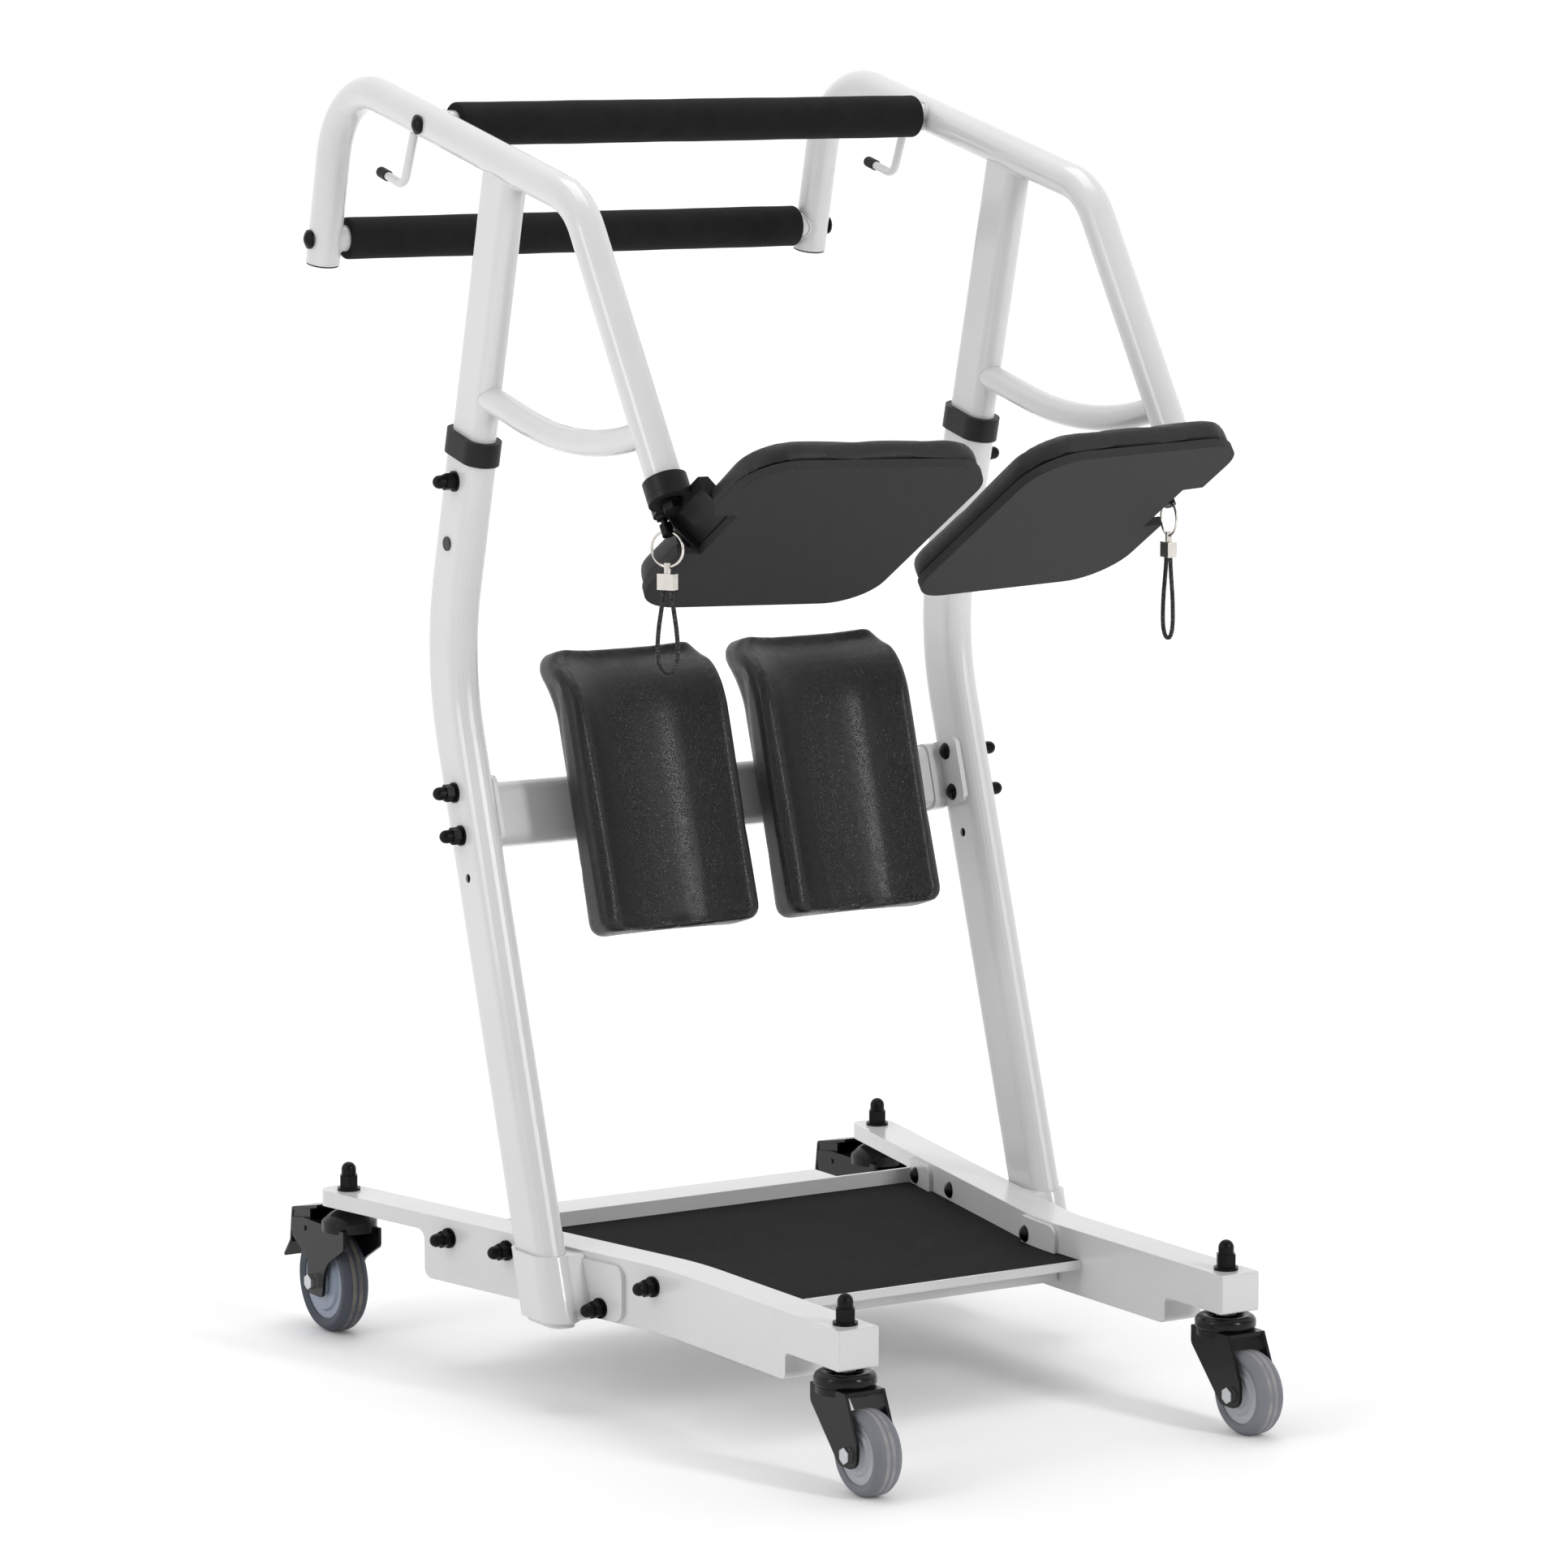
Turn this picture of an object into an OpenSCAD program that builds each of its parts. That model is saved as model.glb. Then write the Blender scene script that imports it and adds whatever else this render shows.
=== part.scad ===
// Sit to stand lift: a wheeled base with a foot tray, two bent masts that carry knee pads, and
// a sliding upper frame with grip bars and two seat pads that swing open on tilted hinges.
// +X is to the right, +Z is up. The user steps on from -Y and faces +Y, where the grip bars are.
// The origin is on the floor, in the middle of the lift. A point of a side view is [y, z].

/* [Base rails] */
// Distance from the middle to the centreline of a rail at its front end
rail_front_x = 202; // [198:1:206]
// Width of a rail, seen from above
rail_w = 40; // [38:1:42]
// Height of a rail, seen from the side
rail_h = 60; // [56:1:62]
// Height of the rails' top face above the floor
rail_top = 142.5; // [142:0.5:143]
// Thickness of the rails' wall
rail_wall = 2; // [1.5:0.5:3]
// Angle by which the rails spread apart towards the rear
rail_splay = 12.13; // [11.9:0.01:12.3]

/* [Masts] */
// Distance from the middle to the centre of each mast and handle tube
side_x = 272; // [270:1:274]
// Width of the lower mast's oval section, across the lift
mast_w = 30; // [29:1:31]
// Depth of the lower mast's oval section, along the lift
mast_d = 60; // [58:1:62]
// Width of the sliding inner mast
inner_w = 25; // [24:0.5:25]
// Depth of the sliding inner mast
inner_d = 55; // [53:1:55]
// Wall thickness of both mast tubes
mast_wall = 2; // [1.5:0.5:2]
// Angle by which the lower mast leans backwards
lower_lean = 17.4; // [17:0.1:18]
// Angle by which the upper mast leans forwards
upper_lean = 14.1; // [13.8:0.1:14.4]

/* [Upper frame] */
// Radius of the handle tube
tube_r = 16; // [15:0.5:16]
// Radius of the brace tube
brace_r = 12; // [11:0.5:12]
// Radius of the foam on the grip bars
foam_r = 20; // [18:0.5:21]
// Length of the foam on each grip bar
foam_l = 502; // [490:1:504]

/* [Pads] */
// Thickness of a seat pad with its base board
seat_t = 30; // [28:1:34]
// Width of a knee pad
knee_pad_w = 168; // [160:1:168]
// Thickness of the foot mat
mat_t = 3; // [2:0.5:3]

/* [Casters] */
// Radius of the front wheels
front_wheel_r = 37.5; // [36:0.5:38]
// Radius of the rear wheels
rear_wheel_r = 50; // [49:0.5:50]
// Width of the front tyres
front_tyre_w = 30; // [28:1:31]
// Width of the rear tyres
rear_tyre_w = 29; // [27:1:30]

/* [Hidden] */
$fn = 64;
white = "whitesmoke";
black = "#1c1c1e";
zinc = "silver";

// ---------- rounding and bending ----------

function along(a, b) = (b - a) / norm(b - a);
function turn_at(a, v, b) = acos(along(a, v) * along(v, b));
function trim_at(a, v, b, r) = r * tan(turn_at(a, v, b) / 2);
function inward_at(a, v, b) =
    let (u = along(a, v), w = along(v, b), side = w - u * (u * w)) side / norm(side);
function centre_at(a, v, b, r) = v - along(a, v) * trim_at(a, v, b, r) + inward_at(a, v, b) * r;
function swing_at(a, v, b) = sign(cross(along(a, v), along(v, b))) * turn_at(a, v, b);

// One corner of an outline as an arc of small steps
function corner(a, v, b, r, steps) =
    r == 0 ? [v] :
    let (c = centre_at(a, v, b, r), n = inward_at(a, v, b), first = atan2(-n[1], -n[0]))
    [for (k = [0 : steps]) let (t = first + swing_at(a, v, b) * k / steps)
        c + r * [cos(t), sin(t)]];

// A closed outline with a radius at each of its points
function rounded(points, radii, steps = 6) =
    let (n = len(points))
    [for (i = [0 : n - 1])
        for (p = corner(points[(i + n - 1) % n], points[i], points[(i + 1) % n], radii[i], steps))
            p];

// Stands a child drawn in [y, z] across the lift, from x0 to x1
module across(x0, x1) {
    translate([x0, 0, 0])
        rotate([90, 0, 90])
            linear_extrude(x1 - x0)
                children();
}

// One round bend of a tube in a side plane
module side_bend(a, v, b, r) {
    c = centre_at(a, v, b, r);
    n = inward_at(a, v, b);
    turn = turn_at(a, v, b);
    first = atan2(-n[1], -n[0]) - (swing_at(a, v, b) > 0 ? 0 : turn);
    translate([0, c[0], c[1]])
        rotate([90, 0, 90])
            rotate([0, 0, first])
                rotate_extrude(angle = turn, $fn = 96)
                    translate([r, 0])
                        rotate(90)
                            children();
}

// A tube along a broken line in a side plane. Its child is the section: X runs across the
// lift and Y across the tube.
module side_tube(points, radii) {
    last = len(points) - 1;
    for (i = [0 : last - 1]) {
        heading = along(points[i], points[i + 1]);
        trim_a = i == 0 ? 0 : trim_at(points[i - 1], points[i], points[i + 1], radii[i - 1]);
        trim_b = i == last - 1 ? 0 : trim_at(points[i], points[i + 1], points[i + 2], radii[i]);
        start = points[i] + trim_a * heading;
        translate([0, start[0], start[1]])
            rotate([atan2(-heading[0], heading[1]), 0, 0])
                linear_extrude(norm(points[i + 1] - points[i]) - trim_a - trim_b)
                    children();
    }
    if (last > 1)
        for (i = [1 : last - 1])
            side_bend(points[i - 1], points[i], points[i + 1], radii[i - 1])
                children();
}

// The same section as an outline of small steps, for tubes that bend
module stepped_oval(w, d) {
    half = d / 2;
    polygon(rounded([[-w / 2, -half], [w / 2, -half], [w / 2, half], [-w / 2, half]],
                    [w / 2 - 0.2, w / 2 - 0.2, w / 2 - 0.2, w / 2 - 0.2], 6));
}

// A round section as an outline of small steps
module stepped_circle(r) {
    polygon([for (k = [0 : 35]) r * [cos(10 * k), sin(10 * k)]]);
}

// A flat oval section with round ends
module oval(w, d) {
    square([w, d - w], center = true);
    for (end = [-1, 1])
        translate([0, end * (d - w) / 2])
            circle(d = w);
}

// Places a child on the right side or, mirrored, on the left
module on_side(side) {
    if (side > 0)
        children();
    else
        mirror([1, 0, 0])
            children();
}

// ---------- the rails' plan ----------

rail_y0 = -397;
rail_y1 = 371;
rail_knee_y = -106;
rail_bend_r = 300;
bend_y0 = rail_knee_y - rail_bend_r * tan(rail_splay / 2);
bend_y1 = bend_y0 + rail_bend_r * sin(rail_splay);
splay_x = rail_front_x + rail_bend_r * (1 - cos(rail_splay));
splay_l = (rail_y1 - bend_y1) / cos(rail_splay);
rail_bottom = rail_top - rail_h;

function rail_angle(y) =
    y < bend_y0 ? 0 : y > bend_y1 ? rail_splay : asin((y - bend_y0) / rail_bend_r);
function rail_x(y) =
    y < bend_y0 ? rail_front_x :
    y > bend_y1 ? splay_x + (y - bend_y1) * tan(rail_splay) :
    rail_front_x + rail_bend_r * (1 - cos(rail_angle(y)));

// The strip of a rail's plan between two distances from its centreline, outwards positive
module rail_strip(a, b, tip_r = 0) {
    translate([rail_front_x + a, rail_y0])
        square([b - a, bend_y0 - rail_y0]);
    intersection() {
        translate([rail_front_x + rail_bend_r, bend_y0])
            difference() {
                circle(r = rail_bend_r - a, $fn = 256);
                circle(r = rail_bend_r - b, $fn = 256);
            }
        translate([rail_front_x + rail_bend_r, bend_y0])
            polygon([[0, 0], [-2 * rail_bend_r, 0],
                     2 * rail_bend_r * [-cos(rail_splay), sin(rail_splay)]]);
    }
    translate([splay_x, bend_y1])
        rotate(-rail_splay)
            polygon(rounded([[a, 0], [b, 0], [b, splay_l], [a, splay_l]],
                            [0, 0, tip_r, tip_r]));
}

// A strip of the rail's plan, only between y0 and y1, stood up from z0 to z1
module rail_band(a, b, y0, y1, z0, z1) {
    intersection() {
        translate([0, 0, z0])
            linear_extrude(z1 - z0)
                rail_strip(a, b);
        translate([0, y0, z0 - 1])
            cube([400, y1 - y0, z1 - z0 + 2]);
    }
}

notch_y = -310;
notch_z = 107;
arm_y = 213;
arm_z = rail_top - 15;

// Side view of a rail: raised at the front over the caster, and thinned to an arm at the rear
function rail_side(inset) = rounded(
    [[rail_y0 + inset, notch_z + inset], [notch_y + inset, notch_z + inset],
     [notch_y + inset, rail_bottom + inset], [arm_y - inset, rail_bottom + inset],
     [arm_y - inset, arm_z + inset], [rail_y1 + 1, arm_z + inset],
     [rail_y1 + 1, rail_top - inset], [rail_y0 + inset, rail_top - inset]],
    [2, 5, 6, 9, 10, 0, 0, 2]);

front_stem = [202, -375];
rear_stem = [rail_x(347), 347];
stem_r = 5;

// Bolts through a rail: distance along the lift, height, what lies on the inner face and on
// the outer face
rail_bolts = [[183, 125, 4, 0], [104, 126, 0, 0], [-90, 124, 4, 0.2], [-24, 94, 0, 4]];
bolt_r = 4;
seat_gap = 0.02;
hole_r = 4.05;

// Points a child's +Z outwards through the right rail at a bolt
module at_rail(y, z) {
    translate([rail_x(y), y, z])
        rotate([0, 0, -rail_angle(y)])
            rotate([0, 90, 0])
                children();
}

module rail_holes() {
    for (b = rail_bolts)
        at_rail(b[0], b[1])
            translate([0, 0, -40])
                cylinder(h = 80, r = hole_r);
}

module rail(side) {
    color(white)
        on_side(side)
            difference() {
                intersection() {
                    translate([0, 0, rail_bottom])
                        linear_extrude(rail_h)
                            rail_strip(-rail_w / 2, rail_w / 2, 14);
                    across(0, 400)
                        polygon(rail_side(0));
                }
                intersection() {
                    translate([0, 0, rail_bottom])
                        linear_extrude(rail_h)
                            rail_strip(rail_wall - rail_w / 2, rail_w / 2 - rail_wall);
                    across(0, 400)
                        polygon(rail_side(rail_wall));
                    translate([0, rail_y0 - 5, 0])
                        cube([400, arm_y + 110 - rail_y0, 200]);
                }
                rail_holes();
                for (stem = [front_stem, rear_stem])
                    translate([stem[0], stem[1], rail_bottom - 1])
                        cylinder(h = rail_h + 2, r = stem_r + 0.05);
            }
}

// ---------- the foot tray and its crossbars ----------

bar_y = 205;
bar_d = 40;
bar_top = 130;
bar_bottom = 90;
bar_half = 160;
plate_t = 4;
tray_z = 110;
tray_t = 3;
tray_y0 = -180;
lip_h = 8;
lip_t = 3;
beam_y = -143;
beam_d = 58;

// The plan between the two rails' inner faces, less a margin, from y0 to y1
module between_rails(margin, y0, y1) {
    intersection() {
        translate([-400, y0])
            square([800, y1 - y0]);
        difference() {
            translate([-300, rail_y0])
                square([600, rail_y1 - rail_y0]);
            for (side = [0, 1])
                mirror([side, 0])
                    rail_strip(-rail_w / 2 - margin, 120);
        }
    }
}

// A flat tab on a rail's inner face, rounded at its upper front corner
module rail_tab(y0, y1, z0, z1, r) {
    intersection() {
        rail_band(-rail_w / 2 - plate_t, -rail_w / 2, y0, y1, z0, z1);
        across(0, 400)
            polygon(rounded([[y0, z0], [y1, z0], [y1, z1], [y0, z1]], [r / 2, 0, 2, r]));
    }
}

module rear_crossbar() {
    color(white)
        difference() {
            union() {
                translate([0, 0, bar_bottom])
                    linear_extrude(bar_top - bar_bottom)
                        between_rails(plate_t / 2, bar_y - plate_t, bar_y);
                for (side = [-1, 1])
                    on_side(side)
                        rail_tab(152, bar_y, 85, 139.5, 12);
                difference() {
                    translate([-bar_half, bar_y, bar_bottom])
                        cube([2 * bar_half, bar_d, bar_top - bar_bottom]);
                    translate([-bar_half - 1, bar_y, bar_bottom + 2])
                        cube([2 * bar_half + 2, bar_d - 2, bar_top - bar_bottom - 4]);
                }
            }
            for (side = [-1, 1])
                on_side(side)
                    rail_holes();
        }
}

module front_crossbar() {
    color(white)
        difference() {
            union() {
                translate([0, 0, bar_bottom])
                    linear_extrude(tray_z - bar_bottom)
                        between_rails(plate_t / 2, beam_y, beam_y + 3);
                translate([0, 0, tray_z - 3])
                    linear_extrude(3)
                        between_rails(plate_t / 2, beam_y, beam_y + beam_d);
                for (side = [-1, 1])
                    on_side(side)
                        rail_tab(beam_y + 2, beam_y + beam_d + 7, 88, 140.5, 12);
            }
            for (side = [-1, 1])
                on_side(side)
                    rail_holes();
        }
}

// Cuts room for the crossbars' tabs out of a sheet between the rails
module tab_room(gap) {
    for (side = [-1, 1])
        on_side(side)
            for (y = [[beam_y + 2, beam_y + beam_d + 7], [152, bar_y]])
                rail_band(-rail_w / 2 - plate_t - gap, -rail_w / 2 + 1, y[0] - gap, y[1] + gap,
                          tray_z - 5, tray_z + 40);
}

module foot_tray() {
    color(white)
        difference() {
            union() {
                translate([0, 0, tray_z])
                    linear_extrude(tray_t)
                        between_rails(0, tray_y0, bar_y - plate_t);
                translate([0, 0, tray_z + tray_t + mat_t - lip_h])
                    linear_extrude(lip_h)
                        between_rails(0, tray_y0, tray_y0 + lip_t);
            }
            tab_room(0.1);
        }
}

module foot_mat() {
    color(black)
        difference() {
            translate([0, 0, tray_z + tray_t])
                linear_extrude(mat_t)
                    between_rails(0.5, tray_y0 + lip_t, bar_y - plate_t);
            tab_room(1);
        }
}

// ---------- masts ----------

mast_knee = [193, 665];
mast_bend_r = 260;
mast_top_s = 208;
lock_s = 172;
lock_pitch = 60;
knee_bolt_s = [-125, -165];
free_hole_s = -205;
foot_z = 80;
inner_s0 = 85;
slope_meet = [78, 1121.3];

// A frame on the lower mast's axis, s above the masts' bend along the axis
module lower_axis(s) {
    translate([side_x, mast_knee[0], mast_knee[1]])
        rotate([-lower_lean, 0, 0])
            translate([0, 0, s])
                children();
}

// The same on the upper mast's axis
module upper_axis(s) {
    translate([side_x, mast_knee[0], mast_knee[1]])
        rotate([upper_lean, 0, 0])
            translate([0, 0, s])
                children();
}

function below_knee(s) = mast_knee + s * [sin(lower_lean), cos(lower_lean)];
function above_knee(s) = mast_knee + s * [-sin(upper_lean), cos(upper_lean)];

module mast_run(w, d, top) {
    translate([side_x, 0, 0])
        side_tube([below_knee(-640), mast_knee, above_knee(top)], [mast_bend_r])
            stepped_oval(w, d);
}

module floor_cut() {
    translate([0, -200, -20])
        cube([400, 600, foot_z + 20]);
}

module lower_mast(side) {
    color(white)
        on_side(side)
            difference() {
                mast_run(mast_w, mast_d, mast_top_s);
                mast_run(mast_w - 2 * mast_wall, mast_d - 2 * mast_wall, mast_top_s + 1);
                floor_cut();
                for (s = knee_bolt_s)
                    lower_axis(s)
                        rotate([0, 90, 0])
                            cylinder(h = 60, r = hole_r, center = true);
                lower_axis(free_hole_s)
                    rotate([0, 90, 0])
                        cylinder(h = 60, r = 4.25, center = true);
                for (s = [lock_s, lock_s - lock_pitch])
                    upper_axis(s)
                        rotate([0, 90, 0])
                            cylinder(h = 60, r = bolt_r);
            }
}

module mast_socket(side) {
    z0 = 82;
    z1 = 140;
    color(white)
        on_side(side)
            difference() {
                intersection() {
                    union() {
                        lower_axis(-640)
                            linear_extrude(120)
                                oval(mast_w + 7, mast_d + 7);
                        across(235, side_x)
                            polygon(rounded([[-22, z0], [34, z0], [51, z1], [-4, z1]],
                                            [4, 4, 4, 4]));
                    }
                    translate([0, -100, z0])
                        cube([400, 250, z1 - z0]);
                }
                linear_extrude(200)
                    rail_strip(-rail_w / 2, rail_w / 2);
                lower_axis(-660)
                    linear_extrude(160)
                        oval(mast_w + 0.3, mast_d + 0.3);
                rail_holes();
                at_rail(-24, 94)
                    translate([0, 0, rail_w / 2 + 4])
                        cylinder(h = 40, r = 9.7);
            }
    color(white)
        on_side(side)
            difference() {
                intersection() {
                    rail_band(rail_w / 2, rail_w / 2 + plate_t, -57, 0, 84, 136);
                    across(0, 400)
                        polygon(rounded([[-57, 84], [20, 84], [20, 136], [-57, 136]],
                                        [12, 0, 0, 12]));
                }
                across(235, 400)
                    polygon(rounded([[-22, z0], [34, z0], [51, z1], [-4, z1]], [4, 4, 4, 4]));
                lower_axis(-640)
                    linear_extrude(120)
                        oval(mast_w + 7, mast_d + 7);
                rail_holes();
            }
}

module mast_collars() {
    color(black)
        for (side = [-1, 1])
            on_side(side)
                upper_axis(mast_top_s - 14)
                    difference() {
                        linear_extrude(22)
                            oval(mast_w + 6, mast_d + 6);
                        translate([0, 0, -1])
                            linear_extrude(15.05)
                                oval(mast_w + 0.2, mast_d + 0.2);
                        linear_extrude(30)
                            oval(inner_w + 0.2, inner_d + 0.2);
                    }
}

module mast_plugs() {
    color(black)
        for (side = [-1, 1])
            on_side(side)
                intersection() {
                    lower_axis(-650)
                        linear_extrude(60)
                            oval(mast_w - 4, mast_d - 4);
                    translate([0, -200, foot_z - 3])
                        cube([400, 600, 3]);
                }
    color(black)
        for (side = [-1, 1])
            on_side(side)
                upper_axis(lock_s - lock_pitch)
                    rotate([0, 90, 0]) {
                        translate([0, 0, mast_w / 2 - mast_wall])
                            cylinder(h = mast_wall, r = bolt_r);
                        translate([0, 0, mast_w / 2])
                            cylinder(h = 1.5, r = 6.5);
                    }
}

// ---------- fasteners ----------

// A closed nut on its washer, seated at the origin and pointing up. Its thread takes a shank
// that rises to depth.
module acorn(depth, washer_r = 9.5) {
    difference() {
        union() {
            cylinder(h = 2, r = washer_r);
            translate([0, 0, 2])
                cylinder(h = 9, r = 8.2, $fn = 6);
            translate([0, 0, 2])
                cylinder(h = 14, r = 6.2);
            translate([0, 0, 16])
                sphere(r = 6.2);
        }
        translate([0, 0, -1])
            cylinder(h = depth + 1, r = bolt_r);
    }
}

// A domed bolt head, seated at the origin and pointing up
module domed_head(r, h) {
    ball = (r * r + h * h) / (2 * h);
    intersection() {
        translate([0, 0, h - ball])
            sphere(r = ball);
        cylinder(h = h, r = r);
    }
}

nut_depth = 10;
flange_x = 252;

module frame_bolts() {
    color(black)
        for (side = [-1, 1])
            on_side(side) {
                for (b = rail_bolts)
                    at_rail(b[0], b[1]) {
                        translate([0, 0, -rail_w / 2 - b[2] - 1])
                            cylinder(h = rail_w + b[2] + b[3] + nut_depth + 1, r = bolt_r);
                        translate([0, 0, -rail_w / 2 - b[2] - seat_gap])
                            mirror([0, 0, 1])
                                domed_head(8.2, 5);
                    }
                for (s = knee_bolt_s)
                    lower_axis(s)
                        rotate([0, 90, 0]) {
                            translate([0, 0, flange_x - side_x])
                                cylinder(h = side_x - flange_x + mast_w / 2 + nut_depth,
                                         r = bolt_r);
                            translate([0, 0, flange_x - side_x])
                                mirror([0, 0, 1])
                                    domed_head(8.2, 5);
                        }
            }
}

module acorn_nuts() {
    color(black)
        for (side = [-1, 1])
            on_side(side) {
                for (b = rail_bolts)
                    at_rail(b[0], b[1])
                        translate([0, 0, rail_w / 2 + b[3] + seat_gap])
                            acorn(nut_depth);
                for (s = knee_bolt_s)
                    lower_axis(s)
                        rotate([0, 90, 0])
                            translate([0, 0, mast_w / 2])
                                acorn(nut_depth);
                for (stem = [front_stem, rear_stem])
                    translate([stem[0], stem[1], rail_top])
                        stem_nut();
            }
}

// The taller closed nut on a caster's stem
module stem_nut() {
    difference() {
        union() {
            cylinder(h = 2.5, r = 11);
            translate([0, 0, 2.5])
                cylinder(h = 12, r = 9.3, $fn = 6);
            translate([0, 0, 2.5])
                cylinder(h = 17.6, r = 7);
            translate([0, 0, 20.1])
                sphere(r = 7);
        }
        translate([0, 0, -1])
            cylinder(h = 14, r = stem_r);
    }
}

module height_lock_screws() {
    color(black)
        for (side = [-1, 1])
            on_side(side)
                upper_axis(lock_s)
                    rotate([0, 90, 0]) {
                        translate([0, 0, inner_w / 2 + 0.2])
                            cylinder(h = mast_w / 2 - inner_w / 2 + 3, r = bolt_r);
                        translate([0, 0, mast_w / 2])
                            acorn(3);
                    }
}

// ---------- knee bar and pads ----------

bar_offset = 28;
knee_mid_s = (knee_bolt_s[0] + knee_bolt_s[1]) / 2;
knee_pad_x = 101;
pad_back_y = -19;
pad_front_y = -64;

// The middle of the lift in the lower mast's leaning frame, level with the knee bar
module knee_frame() {
    translate([-side_x, 0, 0])
        lower_axis(knee_mid_s)
            children();
}

module knee_bar() {
    color(white)
        knee_frame()
            difference() {
                union() {
                    translate([-flange_x, bar_offset, 0])
                        rotate([90, 0, 90])
                            linear_extrude(2 * flange_x)
                                oval_bar(60, 30);
                    for (side = [-1, 1])
                        on_side(side) {
                            translate([flange_x - 12, bar_offset, 0])
                                rotate([90, 0, 90])
                                    linear_extrude(12)
                                        oval_bar(64, 34);
                            translate([flange_x, 0, 0])
                                rotate([90, 0, 90])
                                    linear_extrude(side_x - mast_w / 2 - flange_x)
                                        polygon(rounded([[-20, -31.5], [45, -31.5], [45, 31.5],
                                                         [-20, 31.5]], [8, 14, 14, 8]));
                        }
                }
                translate([-flange_x, bar_offset, 0])
                    rotate([90, 0, 90])
                        linear_extrude(2 * flange_x)
                            oval_bar(56, 26);
                for (side = [-1, 1])
                    for (s = [-20, 20])
                        translate([side * flange_x - 10, 0, s])
                            rotate([0, 90, 0])
                                cylinder(h = 20, r = hole_r);
            }
}

// The knee bar's section, taller than it is thick
module oval_bar(tall, thick) {
    rotate(0)
        oval_flat(thick, tall);
}

module oval_flat(w, d) {
    r = 11;
    polygon(rounded([[-w / 2, -d / 2], [w / 2, -d / 2], [w / 2, d / 2], [-w / 2, d / 2]],
                    [r, r, r, r], 8));
}

module knee_pad_brackets() {
    front = bar_offset - 15;
    color(black)
        knee_frame()
            for (side = [-1, 1])
                translate([side * knee_pad_x, 0, 0]) {
                    translate([-45, pad_back_y, -40])
                        cube([90, 4, 80]);
                    difference() {
                        translate([-25, pad_back_y + 4, -18])
                            cube([50, front - pad_back_y - 4, 36]);
                        translate([-26, pad_back_y + 7, -15])
                            cube([52, front - pad_back_y - 7, 30]);
                    }
                }
}

// Side view of a knee pad in the leaning frame: straight, then curled back at its top
function pad_side(front, back) = rounded(
    [[back, -130], [back, 75], [back + 18, 122], [back + 12, 142], [front + 24, 142],
     [front, 92], [front, -130]],
    [6, 60, 8, 10, 14, 50, 10], 8);

module knee_pad(side) {
    lip = 25;
    floor_y = pad_front_y + 20;
    color(black)
        knee_frame()
            translate([side * knee_pad_x, 0, 0])
                difference() {
                    across(-knee_pad_w / 2, knee_pad_w / 2)
                        polygon(pad_side(pad_front_y, pad_back_y));
                    across(lip - knee_pad_w / 2, knee_pad_w / 2 - lip)
                        polygon([[pad_front_y - 20, -140], [floor_y, -140], [floor_y, 88],
                                 [floor_y + 22, 136], [pad_front_y - 20, 136]]);
                }
}

// ---------- upper frame ----------

handle_end = [432.5, 1017.4];
handle_top = [391.2, 1194];
handle_front = [-49.3, 1091.4];
hub = [-194, 858];
handle_line = [handle_end, handle_top, handle_front, hub];
handle_radii = [78, 70];
// The steep end of the handle tube leans by this much, and is the seat hinge's axis
hinge_lean = atan2(handle_front[0] - hub[0], handle_front[1] - hub[1]);
tube_wall = 2;
upper_grip = handle_front + (212.7 - handle_front[0]) / (handle_top[0] - handle_front[0])
    * (handle_top - handle_front);
lower_grip = handle_end + (1040 - handle_end[1]) / (handle_top[1] - handle_end[1])
    * (handle_top - handle_end);
grip_at = [upper_grip, lower_grip];
grip_r = 12.5;
brace_line = [[129.6, 913.6], [-63.9, 865.3], [-174, 899.6]];

module handle_run(r) {
    translate([side_x, 0, 0])
        side_tube(handle_line, handle_radii)
            stepped_circle(r);
}

// The steep end's own frame: its origin is the tube's end and +Z runs up the tube
module hinge_frame() {
    translate([side_x, hub[0], hub[1]])
        rotate([-hinge_lean, 0, 0])
            children();
}

module inner_mast(side) {
    color(white)
        on_side(side)
            difference() {
                upper_axis(inner_s0)
                    linear_extrude(400)
                        oval(inner_w, inner_d);
                upper_axis(inner_s0 - 1)
                    linear_extrude(420)
                        oval(inner_w - 2 * mast_wall, inner_d - 2 * mast_wall);
                above_slope();
            }
}

// Everything above the slope tube's lower surface: what the inner mast is coped to
module above_slope() {
    heading = atan2(handle_top[1] - handle_front[1], handle_top[0] - handle_front[0]);
    translate([side_x, handle_front[0], handle_front[1]])
        rotate([heading, 0, 0]) {
            rotate([-90, 0, 0])
                cylinder(h = 400, r = tube_r, center = false);
            translate([-60, 0, 0])
                cube([120, 400, 100]);
        }
}

module handle_tube(side) {
    color(white)
        on_side(side)
            difference() {
                handle_run(tube_r);
                handle_run(tube_r - tube_wall);
                for (g = grip_at)
                    translate([side_x - 30, g[0], g[1]])
                        rotate([0, 90, 0])
                            cylinder(h = 60, r = hole_r);
            }
}

module braces() {
    color(white)
        for (side = [-1, 1])
            on_side(side)
            difference() {
                translate([side_x, 0, 0])
                    side_tube(brace_line, [400])
                        stepped_circle(brace_r);
                hinge_frame()
                    translate([0, 0, -60])
                        cylinder(h = 200, r = tube_r);
                upper_axis(inner_s0)
                    linear_extrude(400)
                        oval(inner_w, inner_d);
            }
}

module tube_end_plugs() {
    heading = along(handle_end, handle_top);
    color(black)
        for (side = [-1, 1])
            on_side(side)
                translate([side_x, handle_end[0], handle_end[1]])
                    rotate([atan2(-heading[0], heading[1]), 0, 0]) {
                        cylinder(h = 8, r = tube_r - tube_wall - 0.1);
                        translate([0, 0, -1.5])
                            cylinder(h = 1.5, r = tube_r - 0.5);
                    }
}

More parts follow.
